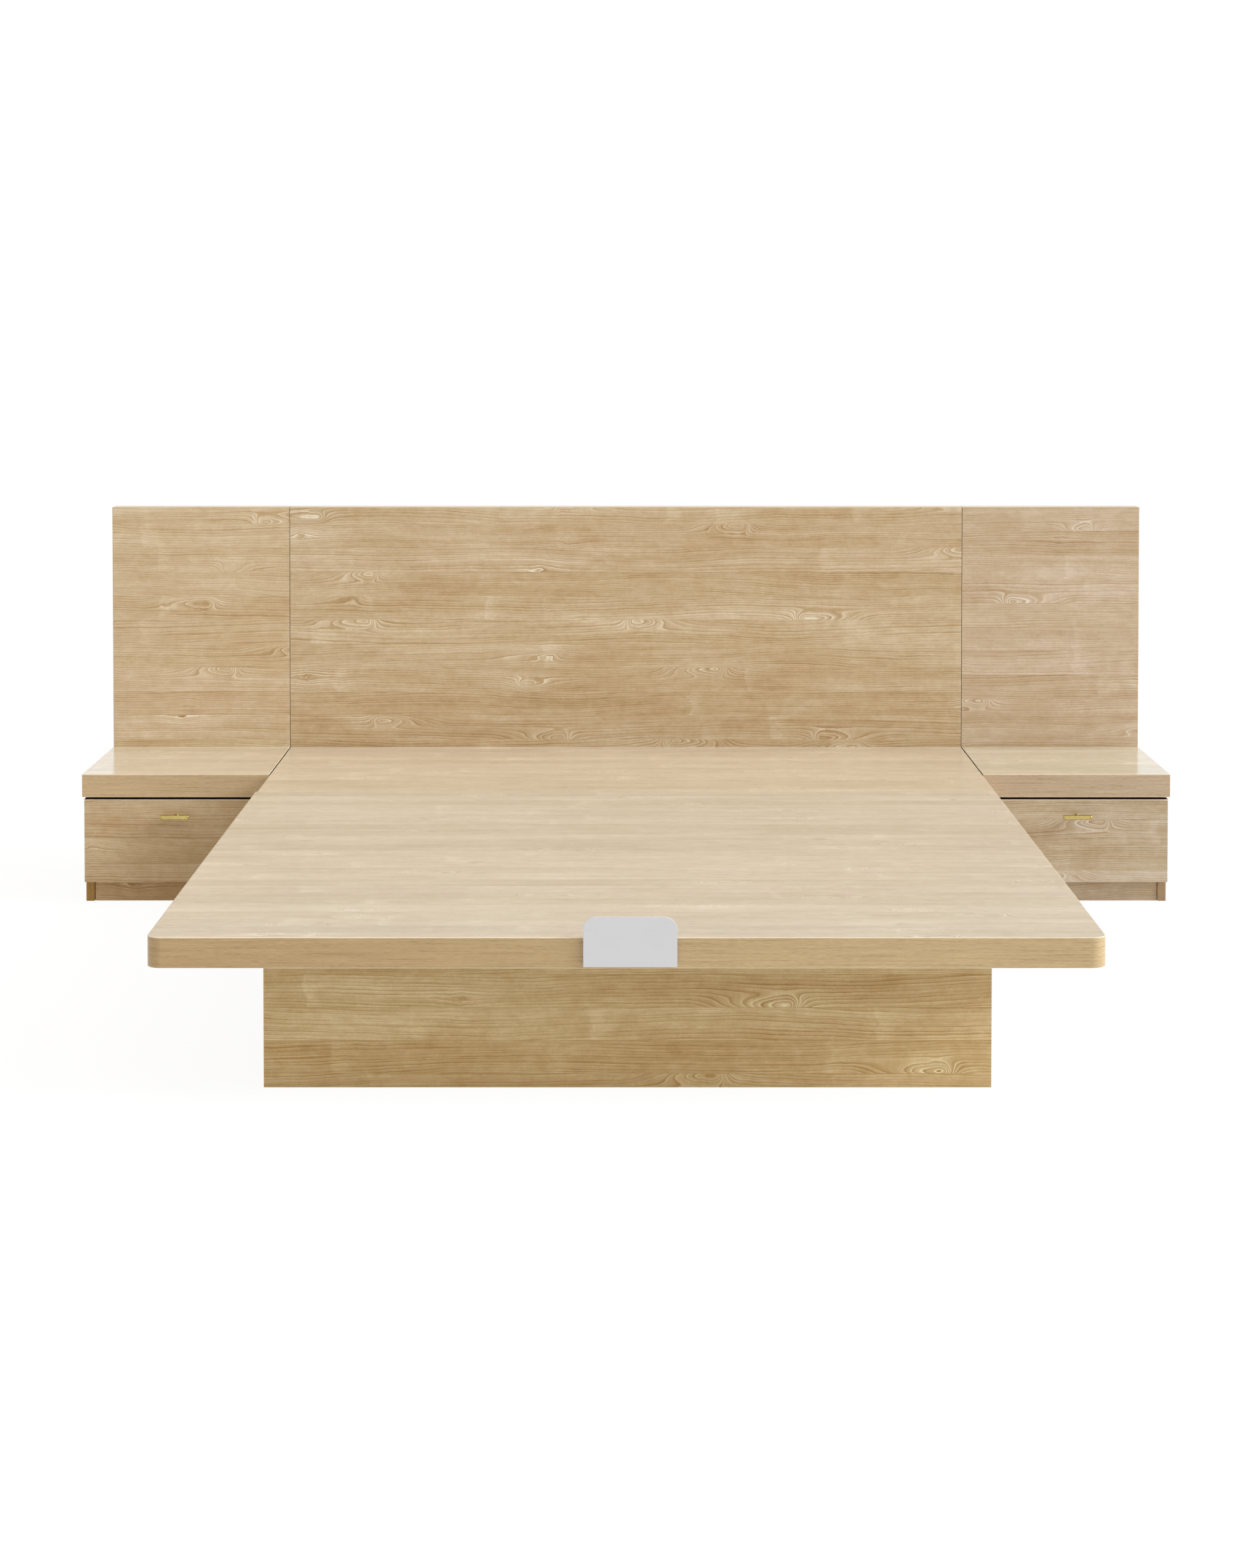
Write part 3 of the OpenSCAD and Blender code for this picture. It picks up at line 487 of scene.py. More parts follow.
def keep_flat(piece):
    """Lets the large faces keep their own normals, so that only the arrises shade round."""
    apply_modifier(piece, "WEIGHTED_NORMAL", weight=100, keep_sharp=True)


def close_piece(piece, smooth=False):
    """Leaves edit mode with all normals outward, flat or smooth by angle."""
    bpy.ops.mesh.select_all(action="SELECT")
    bpy.ops.mesh.normals_make_consistent(inside=False)
    bpy.ops.object.mode_set(mode="OBJECT")
    only(piece)
    if smooth:
        bpy.ops.object.shade_smooth_by_angle(angle=SMOOTH_UP_TO)
        keep_flat(piece)
    return piece


def add_block(name, low, high):
    """A cube of the size and place of a box."""
    bpy.ops.object.select_all(action="DESELECT")
    bpy.ops.mesh.primitive_cube_add(size=1, location=(low + high) / 2, scale=high - low)
    piece = bpy.context.object
    piece.name = name
    bpy.ops.object.transform_apply(location=True, rotation=True, scale=True)
    return piece


def ease(piece, width, steps=2):
    """Rounds every arris of a piece."""
    shape(piece, mode="EDGE")
    bpy.ops.mesh.bevel(offset=width, segments=steps, affect="EDGES")
    return close_piece(piece)


def facing(axis, least=0.9):
    """Tells the faces that look along an axis, either way, by how straight they look."""
    return lambda normal: abs(normal[axis]) > least


def dress(piece, *materials, faces=None):
    """Gives a piece its materials. faces tells from a face's normal the number of its material."""
    piece.data.materials.clear()
    for material in materials:
        piece.data.materials.append(material)
    if faces:
        for face in piece.data.polygons:
            face.material_index = int(faces(face.normal))


def stands_for(piece, slot, *nodes, body="root"):
    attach(piece, body)
    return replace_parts(piece, *nodes)


def eased_board(node_name, slot, *materials, body="root", faces=None, arris=FINE_ARRIS):
    """A board in the place of its CAD node, with rounded arrises."""
    piece = ease(add_block(node_name + "_shaped", *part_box(node_name)), arris)
    dress(piece, *materials, faces=faces)
    return stands_for(piece, slot, node_name, body=body)


# painted shade on faces inside gaps: headboard joints, kickboard ends, top bands beside the deck, drawer tops
gap_shade = painted_gap_shade("gap_shade_paint")
# each board's place on the sheet, its contrast and its tint
for name, shift, contrast, tint in (("centre", (0.0, 0.022, 0), 1.12, (1.03, 1.03, 1.04)),
                                    ("left", (2.3, 0.245, 0), 1.0, (1.08, 1.075, 1.085)),
                                    ("right", (5.1, 1.0045, 0), 1.0, (1.01, 1.01, 1.10))):
    eased_board(f"headboard_{name}_board", "laminate_upright",
                laminate(f"headboard_{name}_laminate", LEVEL, shift, contrast=contrast, tint=tint),
                gap_shade, faces=facing(X))

# ---- Headboard edging --------------------------------------------------------
# 1 mm bands ironed on the top of each panel and down the two outer sides, in the laminate's colour
# with straight lines, their outer arrises rounded over with a scraper.

BAND = 1 * MM
BAND_ARRIS = 0.9 * MM
BAND_GAP = 0.5 * MM    # between two lengths of band
SAME_PLACE = 1e-6    # metres
FALLOFF_FROM_X, FALLOFF_TO_X = -0.5, 0.5    # a band's tint changes between these, as a painted falloff of light from the lamps at the right
BANDING = ((0.345, 0.242, 0.127), (0.512, 0.376, 0.218), (0.615, 0.471, 0.289), (0.713, 0.565, 0.376))


def banding(name, lines_across, runs_along, tint=NO_TINT, lit_end_tint=None):
    """Edge band: straight lines that follow each other along one axis and run along another. Its last
    argument is its tint at the right: a painted falloff of light, paler towards the lamps."""
    material, tree = blank_material(name)
    place = axes(tree, on_piece(tree))
    over = place[lines_across]
    run = calc(tree, "ADD", place[X], place[Y]) if runs_along == X else place[runs_along]
    wide = noise(tree, (run, over, 0.0), (7.0, 330.0, 1.0), 2.0, 0.6)
    fine = noise(tree, (run, over, 4.0), (70.0, 800.0, 1.0), 2.0, 0.6)
    slow = noise(tree, (run, over, 9.0), (1.1, 6.0, 1.0), 1.0)
    tone = 0.5
    for value, share in ((wide, 1.0), (fine, 1.1), (slow, 0.45)):
        tone = sway(tree, tone, value, share)
    light_falloff = node(tree, "ShaderNodeMapRange")
    feed(tree, light_falloff.inputs["Value"], place[X])
    light_falloff.inputs["From Min"].default_value = FALLOFF_FROM_X
    light_falloff.inputs["From Max"].default_value = FALLOFF_TO_X
    shade = node(tree, "ShaderNodeMix", data_type="RGBA")
    feed(tree, shade.inputs["Factor"], light_falloff.outputs[0])
    shade.inputs["A"].default_value = (*tint, 1)
    shade.inputs["B"].default_value = (*(lit_end_tint or tint), 1)
    colour = tinted(tree, colour_ramp(tree, tone, BANDING), shade.outputs["Result"])
    return finish_surface(material, colour, wide, (0.22, 0.36), bump=0.10, depth=0.3 * MM)


def round_outside(band, whole, width=BAND_ARRIS):
    """Rounds those arrises of a band that are arrises of the whole that it edges, given by its two
    corners."""
    low, high = whole

    def at_outside(a, b):
        """An edge that lies in two outer faces of the whole."""
        faces = 0
        for i in range(3):
            inset = min(abs(a[i] - low[i]), abs(a[i] - high[i]))
            faces += abs(a[i] - b[i]) + inset < SAME_PLACE
        return faces > 1

    shape(band, at_outside, "EDGE")
    bpy.ops.mesh.bevel(offset=width, segments=3, affect="EDGES")
    return close_piece(band, smooth=True)


def join(pieces, name):
    """Joins pieces into the first of them, under a name."""
    bpy.ops.object.select_all(action="DESELECT")
    for piece in pieces:
        piece.select_set(True)
    bpy.context.view_layer.objects.active = pieces[0]
    bpy.ops.object.join()
    pieces[0].name = name
    keep_flat(pieces[0])
    return pieces[0]


def bands(name, boxes, whole):
    """Several bands round a whole, as one piece. A box is its two corners and the number of its material."""
    made = []
    for low, high, number in boxes:
        band = round_outside(add_block(name, Vector(low), Vector(high)), whole)
        for face in band.data.polygons:
            face.material_index = number
        made.append(band)
    return join(made, name)


head_low, head_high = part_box("headboard_edging")
boxes = []
for name in ("left", "centre", "right"):
    low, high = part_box(f"headboard_{name}_board")
    x0 = head_low.x if name == "left" else low.x
    x1 = head_high.x if name == "right" else high.x
    boxes.append(((x0, head_low.y, high.z), (x1, head_high.y, head_high.z), 0))
for x0, x1 in ((head_low.x, head_low.x + BAND), (head_high.x - BAND, head_high.x)):
    boxes.append(((x0, head_low.y, 0), (x1, head_high.y, head_high.z - BAND - BAND_GAP), 1))
piece = bands("headboard_bands", boxes, (head_low, head_high))
piece.data.materials.append(banding("headboard_top_band", lines_across=Y, runs_along=X))
# the side bands are darkened a little as painted shade, against the lamps' strong light from the side
piece.data.materials.append(
    banding("headboard_side_band", lines_across=Y, runs_along=Z, tint=(0.95, 0.95, 0.95)))
stands_for(piece, "edge_banding", "headboard_edging")

# ---- Headboard build-up strips -----------------------------------------------
# Rails and stiles of raw pine behind each face board, glued on, with housings for the splice plates.
# The rails' grain runs along X and the stiles' upright.

STRIP_W = 60 * MM
PINE_RING = 7 * MM
PINE = ((0.40, 0.26, 0.12), (0.55, 0.39, 0.21), (0.64, 0.48, 0.28), (0.70, 0.54, 0.34))


def pine(name, runs_x, else_along, across):
    """Raw softwood. runs_x tells from the place where the grain runs along X. Elsewhere it runs along
    another axis, and the third is across the grain everywhere."""
    material, tree = blank_material(name)
    place = axes(tree, on_piece(tree))
    along_x = runs_x(tree, place)

    def either(a, b):
        mixed = node(tree, "ShaderNodeMix", data_type="FLOAT")
        feed(tree, mixed.inputs["Factor"], along_x)
        feed(tree, mixed.inputs["A"], b)
        feed(tree, mixed.inputs["B"], a)
        return mixed.outputs["Result"]

    over = either(place[else_along], place[X])
    at = (either(place[X], place[else_along]), over, place[across])
    warp = noise(tree, at, (1.2, 11.0, 11.0), 1.0)
    rings = calc(tree, "DIVIDE", calc(tree, "ADD", over, place[across]), PINE_RING)
    ring = calc(tree, "FRACT", calc(tree, "MULTIPLY_ADD", warp, 4.0, rings))
    dark = calc(tree, "MULTIPLY", step_up(tree, ring, 0.2, 0.85), step_down(tree, ring, 0.88, 1.0))
    fibre = noise(tree, at, (9.0, 480.0, 480.0), 3.0, 0.7)
    slow = noise(tree, at, (0.9, 9.0, 9.0), 1.0)
    tone = calc(tree, "MULTIPLY_ADD", dark, -0.32, 0.60)
    tone = sway(tree, sway(tree, tone, fibre, 0.5), slow, 0.4)
    colour = colour_ramp(tree, tone, PINE)
    return finish_surface(material, colour, fibre, (0.62, 0.85), bump=0.35, depth=0.5 * MM)


def within(tree, value, spans, slack=0.1 * MM):
    """1 where a value is inside one of the spans or within the slack of it."""
    total = 0.0
    for low, high in spans:
        inside = calc(tree, "COMPARE", value, (low + high) / 2, (high - low) / 2 + slack)
        total = calc(tree, "MAXIMUM", total, inside)
    return total


def paint(material, *nodes):
    for name in nodes:
        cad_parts[name].data.materials[0] = material


rails = ((0, STRIP_W), (head_high.z - BAND - STRIP_W, head_high.z))
headboard_pine = pine("headboard_pine", lambda tree, place: within(tree, place[Z], rails), Z, across=Y)
paint(headboard_pine, "headboard_left_frame", "headboard_centre_frame", "headboard_right_frame")

# ---- Steel plates, brackets, screws and bolts --------------------------------
# Bright zinc on pressed and turned steel, clouded, with faint rolling lines that the gloss follows.
# The runners of the drawers and the cam fittings have the same finish.

ZINC = ((0.42, 0.43, 0.45), (0.58, 0.59, 0.61), (0.70, 0.71, 0.72))


def metal(name, colours, roughness, mottle=60.0, lines=(9.0, 700.0, 700.0)):
    """Plated metal: broad mottle, fine lines along X and a roughness that follows them."""
    material, tree = blank_material(name)
    place = axes(tree, on_piece(tree))
    cloudy = noise(tree, place, mottle, 3.0, 0.6)
    scored = noise(tree, place, lines, 2.0, 0.6)
    tone = sway(tree, sway(tree, 0.5, cloudy, 0.9), scored, 0.5)
    both = calc(tree, "MULTIPLY_ADD", scored, 0.6, calc(tree, "MULTIPLY", cloudy, 0.4))
    colour = colour_ramp(tree, tone, colours)
    return finish_surface(material, colour, both, roughness, bump=0.10, depth=0.1 * MM, metallic=1.0)


zinc = metal("bright_zinc", ZINC, (0.24, 0.46))
paint(zinc, "splice_plates", "headboard_brackets", "deck_brackets", "pedestal_brackets", "frame_screws",
      "connector_bolts")
for side in ("left", "right"):
    paint(zinc, f"{side}_cabinet_runners", f"{side}_middle_runners", f"{side}_drawer_runners",
          f"{side}_drawer_fasteners")

# ---- Deck panels -------------------------------------------------------------
# Two 18 mm boards faced with the same laminate, in paler, greyer colours that paint part of its sheen, its
# grain across the bed, butted tight together.
# The foot panel is 4 mm wider at the left and has its two front corners rounded in plan.

CORNER_R = 25 * MM
PANEL_ARRIS = 0.2 * MM
SEAM_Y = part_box("deck_head_board")[0].y
# the oak paled and greyed, as painted sheen of level faces seen low; the nightstand tops use it too
SHEEN_PALED_OAK = ((0.442, 0.371, 0.263), (0.520, 0.442, 0.321), (0.605, 0.518, 0.388),
           (0.695, 0.604, 0.462), (0.796, 0.696, 0.544))
SHEEN_PALED_LOOK = dict(colours=SHEEN_PALED_OAK, contrast=1.20, roughness=(0.13, 0.22))


def round_front_corners(piece, radius, steps=14):
    """Rounds the two upright edges at the piece's front, in plan."""
    front = min(v.co.y for v in piece.data.vertices)

    def upright_at_front(a, b):
        return abs(a.x - b.x) + abs(a.y - b.y) < SAME_PLACE and abs(a.y - front) < SAME_PLACE

    shape(piece, upright_at_front, "EDGE")
    bpy.ops.mesh.bevel(offset=radius, segments=steps, affect="EDGES")
    bpy.ops.object.mode_set(mode="OBJECT")


def ease_rims(piece, width, steps=2):
    """Rounds the level edges round a deck panel, but not those at the joint of the two panels."""

    def on_rim(a, b):
        at_seam = abs(a.y - SEAM_Y) < SAME_PLACE and abs(b.y - SEAM_Y) < SAME_PLACE
        return abs(a.z - b.z) < SAME_PLACE and not at_seam

    shape(piece, on_rim, "EDGE")
    bpy.ops.mesh.bevel(offset=width, segments=steps, affect="EDGES")
    return close_piece(piece, smooth=True)


for name, shift, tint in (("head", (1.7, 0.310, 0), (1.055, 1.045, 1.02)),
                          ("foot", (3.9, 0.845, 0), (1.02, 1.048, 1.09))):
    panel = add_block(f"deck_{name}_panel", *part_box(f"deck_{name}_board"))
    if name == "foot":
        round_front_corners(panel, CORNER_R - BAND)
    ease_rims(panel, PANEL_ARRIS)
    dress(panel, laminate(f"deck_{name}_laminate", FLAT, shift, tint=tint, **SHEEN_PALED_LOOK))
    stands_for(panel, "laminate_top", f"deck_{name}_board")

# ---- Deck edging -------------------------------------------------------------
# The same 1 mm band, 50 mm high: one length wraps the foot panel's side, corner, front, corner and
# side, and a short one runs along each side of the head panel. Its level arrises carry a painted highlight in
# pale cream.

# pale cream of the painted highlight on rounded arrises
ARRIS_HIGHLIGHT_CREAM = ((0.80, 0.69, 0.49), (0.92, 0.82, 0.62))
edge_low, edge_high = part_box("deck_edging")
head_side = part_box("deck_head_board")[1].x + BAND


def painted_arris_highlight(name):
    """A painted highlight for rounded arrises: pale cream, with fine marks along the edge."""
    material, tree = blank_material(name)
    marks = noise(tree, axes(tree, on_piece(tree)), (40.0, 40.0, 600.0), 2.0, 0.6)
    colour = colour_ramp(tree, marks, ARRIS_HIGHLIGHT_CREAM)
    return finish_surface(material, colour, marks, (0.40, 0.60), bump=0.15, depth=0.1 * MM)


def is_level_arris(normal):
    """Whether a face rounds a level edge, from its slant."""
    return 0.15 < abs(normal.z) < 0.98


def strip_off(piece, unwanted):
    """Deletes the faces that unwanted picks."""
    shape(piece, unwanted)
    bpy.ops.mesh.delete(type="FACE")
    bpy.ops.object.mode_set(mode="OBJECT")


def thicken(piece, thickness):
    """Gives a skin its thickness on the inner side."""
    only(piece)
    apply_modifier(piece, "SOLIDIFY", thickness=thickness, offset=-1, use_even_offset=True)


def on_outer_rim(a, b):
    """A level edge at the outside of the band."""
    if abs(a.z - b.z) > SAME_PLACE:
        return False
    middle = (a + b) / 2
    inset_x = min(middle.x - edge_low.x, edge_high.x - middle.x)
    inset_y = middle.y - edge_low.y
    if inset_x < CORNER_R and inset_y < CORNER_R:
        return Vector((CORNER_R - inset_x, CORNER_R - inset_y)).length > CORNER_R - BAND * 0.4
    return min(inset_x, inset_y) < 10 * SAME_PLACE


wrap = add_block("deck_band_foot", edge_low, Vector((edge_high.x, SEAM_Y, edge_high.z)))
round_front_corners(wrap, CORNER_R)
strip_off(wrap, lambda normal, centre: abs(normal.z) > 0.9 or normal.y > 0.9)
shape(wrap)
bpy.ops.mesh.normals_make_consistent(inside=False)
bpy.ops.object.mode_set(mode="OBJECT")
thicken(wrap, BAND)
shape(wrap, on_outer_rim, "EDGE")
bpy.ops.mesh.bevel(offset=BAND_ARRIS, segments=3, affect="EDGES")
close_piece(wrap, smooth=True)
boxes = []
for x0, x1 in ((-head_side, -head_side + BAND), (head_side - BAND, head_side)):
    boxes.append(((x0, SEAM_Y + BAND_GAP, edge_low.z), (x1, edge_high.y, edge_high.z), 0))
side_bands = bands("deck_band_head", boxes, (Vector((-head_side, SEAM_Y, edge_low.z)),
                                             Vector((head_side, edge_high.y, edge_high.z))))
join((wrap, side_bands), "deck_bands")
# painted highlight for the level arrises of the bands and the drawer fronts' top edges
arris_highlight = painted_arris_highlight("painted_arris_highlight")
# painted falloff of light: darker and warmer at the left, paler at the right towards the lamps
deck_band = banding("deck_band", lines_across=Z, runs_along=X,
                    tint=(0.875, 0.785, 0.61), lit_end_tint=(0.99, 0.95, 0.80))
# its level arrises get the painted highlight
dress(wrap, deck_band, arris_highlight, faces=is_level_arris)
stands_for(wrap, "edge_banding", "deck_edging")

# ---- Deck build-up and landing strips ----------------------------------------
# Raw pine glued under the panels' edges and over the pedestal's boards. Those at the ends, at the
# joint and over the pedestal's front run across the bed, the others along it.

BEARER_OUT, BEARER_IN = 12 * MM, 68 * MM    # the strip over the pedestal's front, from that board's face
BEARER_INSET = 2 * MM    # from the side strips
foot_low, foot_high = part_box("deck_foot_frame")
head_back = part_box("deck_head_frame")[1].y
ped_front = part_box("pedestal_front_board")[0].y
bearer_y = (ped_front - BEARER_OUT, ped_front + BEARER_IN)
bearer_x = (foot_low.x + STRIP_W + BEARER_INSET, foot_high.x - STRIP_W - BEARER_INSET)
cross_strips = ((foot_low.y, foot_low.y + STRIP_W), (foot_high.y - STRIP_W, foot_high.y + STRIP_W),
                (head_back - STRIP_W, head_back))


def deck_strip_runs_x(tree, place):
    ends = within(tree, place[Y], cross_strips)
    bearer = calc(tree, "MULTIPLY", within(tree, place[Y], (bearer_y,)), within(tree, place[X], (bearer_x,)))
    return calc(tree, "MAXIMUM", ends, bearer)


paint(pine("deck_pine", deck_strip_runs_x, Y, across=Z), "deck_head_frame", "deck_foot_frame")

# ---- Pedestal ----------------------------------------------------------------
# A box of laminated 18 mm boards under the deck. The spine and cross boards inside it are raw.
# Its laminate is a warmer copy of the oak, painted with the warm shade under the deck, and its grain runs
# round the box.

# the oak with painted shade: warmer and more saturated, for the boards under the deck
SHADE_WARMED_OAK = ((0.429, 0.231, 0.063), (0.538, 0.341, 0.121), (0.660, 0.472, 0.211),
            (0.796, 0.626, 0.333), (0.889, 0.816, 0.508))
RAW = ((0.36, 0.25, 0.13), (0.52, 0.39, 0.23), (0.62, 0.48, 0.30), (0.70, 0.57, 0.39))


def particle_board(name, chip=230.0):
    """Raw board: pressed chips of many tones under fine dust."""
    material, tree = blank_material(name)
    place = on_piece(tree)
    chips = fed(tree, "ShaderNodeTexVoronoi", Vector=place, Scale=chip)
    shade = axes(tree, chips.outputs["Color"])[0]
    dust = noise(tree, axes(tree, place), 900.0, 2.0)
    tone = sway(tree, sway(tree, 0.55, shade, 0.65), dust, 0.5)
    colour = colour_ramp(tree, tone, RAW)
    return finish_surface(material, colour, shade, (0.75, 0.92), bump=0.25, depth=0.3 * MM)


front_laminate = laminate("pedestal_front_laminate", LEVEL, (7.3, 0.634, 0), SHADE_WARMED_OAK, contrast=1.2,
                          tint=(1.035, 1.04, 1.045))
side_laminate = laminate("pedestal_side_laminate", SIDEWAYS, (0.9, 0.133, 0), SHADE_WARMED_OAK,
                         tint=(0.95, 0.95, 0.95))
rear_laminate = laminate("pedestal_rear_laminate", LEVEL, (4.4, 0.733, 0), SHADE_WARMED_OAK)
for name, face_laminate in (("front", front_laminate), ("rear", rear_laminate)):
    eased_board(f"pedestal_{name}_board", "laminate_upright", face_laminate, side_laminate,
                faces=facing(X, 0.7))
for name in ("left", "right"):
    eased_board(f"pedestal_{name}_board", "laminate_upright", side_laminate)
raw = particle_board("raw_particle_board")
eased_board("pedestal_spine_board", "raw_board", raw)
paint(raw, "pedestal_front_cross_boards", "pedestal_rear_cross_boards")

# ---- Mattress stop -----------------------------------------------------------
# One piece of 2 mm sheet: an upright plate with its upper corners rounded, bent under the deck and
# screwed there. Powder-coated pale grey, with a faint orange-peel surface.

SHEET = 2 * MM
STOP_CORNER_R = 21 * MM
BEND_R = 3 * MM    # inside the bend
SHEET_ARRIS = 0.35 * MM
SHARP_FROM = math.radians(50)
GREY_COAT = ((0.627, 0.627, 0.633), (0.755, 0.755, 0.762))


def ease_sharp(piece, width):
    """Rounds the edges whose faces meet sharply."""
    shape(piece, mode="EDGE")
    bpy.ops.mesh.select_all(action="DESELECT")
    bpy.ops.mesh.edges_select_sharp(sharpness=SHARP_FROM)
    bpy.ops.mesh.bevel(offset=width, segments=2, affect="EDGES")


def powder_coat(name):
    """Pale grey coat: orange peel in the relief, broad rubbed spots in the tone."""
    material, tree = blank_material(name)
    place = axes(tree, on_piece(tree))
    peel = noise(tree, place, 420.0, 2.0, 0.5)
    rubbed = noise(tree, place, (14.0, 14.0, 26.0), 3.0, 0.6)
    tone = sway(tree, sway(tree, 0.5, rubbed, 0.35), peel, 0.20)
    colour = colour_ramp(tree, tone, GREY_COAT)
    return finish_surface(material, colour, peel, (0.42, 0.56), bump=0.10, depth=0.1 * MM)


stop_low, stop_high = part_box("mattress_stop")
bend = Vector((0, stop_low.y + SHEET + BEND_R, stop_low.z + SHEET + BEND_R))


def upright_above_bend(a, b):
    """An edge through the sheet's thickness at one of the two upper corners."""
    return abs(a.x - b.x) + abs(a.z - b.z) < SAME_PLACE and a.z > bend.z + SHEET_ARRIS


plate = add_block("mattress_stop_plate", Vector((stop_low.x, stop_low.y, bend.z)),
                  Vector((stop_high.x, stop_low.y + SHEET, stop_high.z)))
shape(plate, upright_above_bend, "EDGE")
bpy.ops.mesh.bevel(offset=STOP_CORNER_R, segments=12, affect="EDGES")
bpy.ops.object.mode_set(mode="OBJECT")
shape(plate, lambda normal, centre: normal.z < -0.9)
bpy.ops.mesh.spin(steps=8, angle=math.pi / 2, center=bend, axis=(1, 0, 0))
bpy.ops.mesh.extrude_region_move(TRANSFORM_OT_translate={"value": (0, stop_high.y - bend.y, 0)})
close_piece(plate)
ease_sharp(plate, SHEET_ARRIS)
close_piece(plate, smooth=True)
dress(plate, powder_coat("stop_powder_coat"))
stands_for(plate, "stop_paint", "mattress_stop")

# ---- Nightstand tops ---------------------------------------------------------
# An 18 mm laminated board on pine strips, banded 50 mm high on its front and both sides. The band's
# level arrises carry a painted highlight in pale cream, and its face beside the deck carries near-black
# painted shade.

# the left tints are warmer and the right ones cooler: painted warm shade on the left nightstand, which lies
# in the deck's shadow, and painted cool lamp light on the right
for side, inward, shift, tint, band_tint in (
        ("left", 1, (6.1, 0.518, 0), (1.018, 1.017, 0.98), (1.145, 1.085, 0.985)),
        ("right", -1, (8.7, 0.094, 0), (1.04, 1.07, 1.05), (0.975, 0.965, 1.055))):
    top_laminate = laminate(f"{side}_top_laminate", FLAT, shift, tint=tint, **SHEEN_PALED_LOOK)
    eased_board(f"{side}_top_board", "laminate_top", top_laminate, arris=PANEL_ARRIS)
    low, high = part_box(f"{side}_top_edging")
    boxes = [(low, (high.x, low.y + BAND, high.z), 0)]
    for x in (low.x, high.x - BAND):
        boxes.append(((x, low.y + BAND, low.z), (x + BAND, high.y, high.z), 0))
    piece = bands(f"{side}_top_bands", boxes, (low, high))
    # painted highlight on the level arrises, painted shade on the face towards the deck
    dress(piece, banding(f"{side}_top_band", lines_across=Z, runs_along=X, tint=band_tint), arris_highlight, gap_shade,
          faces=lambda normal: 2 if normal.x * inward > 0.9 else is_level_arris(normal))
    stands_for(piece, "edge_banding", f"{side}_top_edging")
    frame_low, frame_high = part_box(f"{side}_top_frame")
    spans = ((frame_low.y, frame_low.y + STRIP_W), (frame_high.y - STRIP_W, frame_high.y))
    top_pine = pine(f"{side}_top_pine", lambda tree, place: within(tree, place[Y], spans), Y, across=Z)
    paint(top_pine, f"{side}_top_frame")

# ---- Nightstand cases --------------------------------------------------------
# Two side boards down to the floor, a kickboard set back between them, a floor board on it and a raw
# back board. The sides' grain runs front to back, and their front edges carry a band.

KICK_GAP = Vector((1.2, 0, 0)) * MM    # an open joint at each end of the kickboard
CASE_ARRIS, FLOOR_BOARD_ARRIS = 0.5 * MM, 0.4 * MM
# painted shade: the case sides are darkened against the strong light the lamps throw on them from the side
CASE_SIDE_SHADE = (0.87, 0.87, 0.87)
cut_edge = banding("board_cut_edge", lines_across=Z, runs_along=X)
# the left tints are warmer and the right ones cooler: painted warm shade on the left nightstand, which lies
# in the deck's shadow, and painted cool lamp light on the right
for side, x_shift, kick_tint, edge_tint in (
        ("left", 2.9, (0.98, 0.855, 0.685), (0.785, 0.555, 0.13)),
        ("right", 5.6, (0.82, 0.81, 0.83), (0.645, 0.545, 0.44))):
    flank = laminate(f"{side}_case_laminate", SIDEWAYS, (x_shift, 0.377, 0), tint=CASE_SIDE_SHADE)
    kick_laminate = laminate(f"{side}_kick_laminate", LEVEL, (x_shift + 1.3, 0.205, 0), tint=kick_tint)
    floor_laminate = laminate(f"{side}_floor_laminate", FLAT, (x_shift, 0.6, 0))
    upright_edge = banding(f"{side}_case_front_edge", lines_across=X, runs_along=Z, tint=edge_tint)
    for name in ("outer", "inner"):
        eased_board(f"{side}_{name}_side", "laminate_upright", flank, upright_edge, arris=CASE_ARRIS,
                    faces=facing(Y, 0.7))
    low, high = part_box(f"{side}_kickboard")
    kick = ease(add_block(f"{side}_kick", low + KICK_GAP, high - KICK_GAP), CASE_ARRIS)
    # the kickboard's ends carry near-black painted shade, for the shade in those open joints
    dress(kick, kick_laminate, gap_shade, faces=facing(X))
    stands_for(kick, "laminate_upright", f"{side}_kickboard")
    eased_board(f"{side}_floor_board", "laminate_upright", floor_laminate, cut_edge,
                arris=FLOOR_BOARD_ARRIS, faces=facing(Y, 0.7))
    paint(raw, f"{side}_back_board")

# ---- Drawers -----------------------------------------------------------------
# A laminated front on a box of pale 12 mm boards, held by cam fittings. The sides and back are
# grooved for a thin bottom. The front's top edge is rounded over with a painted cream highlight, and the flat
# behind it carries near-black painted shade.

TOP_ARRIS = 3 * MM
TOP_ROOM = 1 * MM    # what the front is cut shorter at its top
BOTTOM_ARRIS = 0.3 * MM
BIRCH = ((0.56, 0.44, 0.27), (0.66, 0.54, 0.37), (0.73, 0.62, 0.45), (0.79, 0.69, 0.53))


def birch(name, turn):
    """Pale close-grained drawer board, its grain laid by turn."""
    material, tree = blank_material(name)
    place = axes(tree, on_piece(tree, turn))
    fibre = noise(tree, place, (14.0, 600.0, 600.0), 3.0, 0.7)
    waves = noise(tree, place, (2.0, 45.0, 45.0), 3.0, 0.6)
    tone = sway(tree, sway(tree, 0.5, waves, 0.8), fibre, 0.6)
    colour = colour_ramp(tree, tone, BIRCH)
    return finish_surface(material, colour, fibre, (0.48, 0.64), bump=0.15, depth=0.3 * MM)


def drawer_front_faces(normal):
    """0 for the laminate, 1 for the painted highlight on the rounding of the top edge, 2 for the painted
    shade behind it.
    """
    return 2 if normal.z > 0.8 else normal.z > 0.15


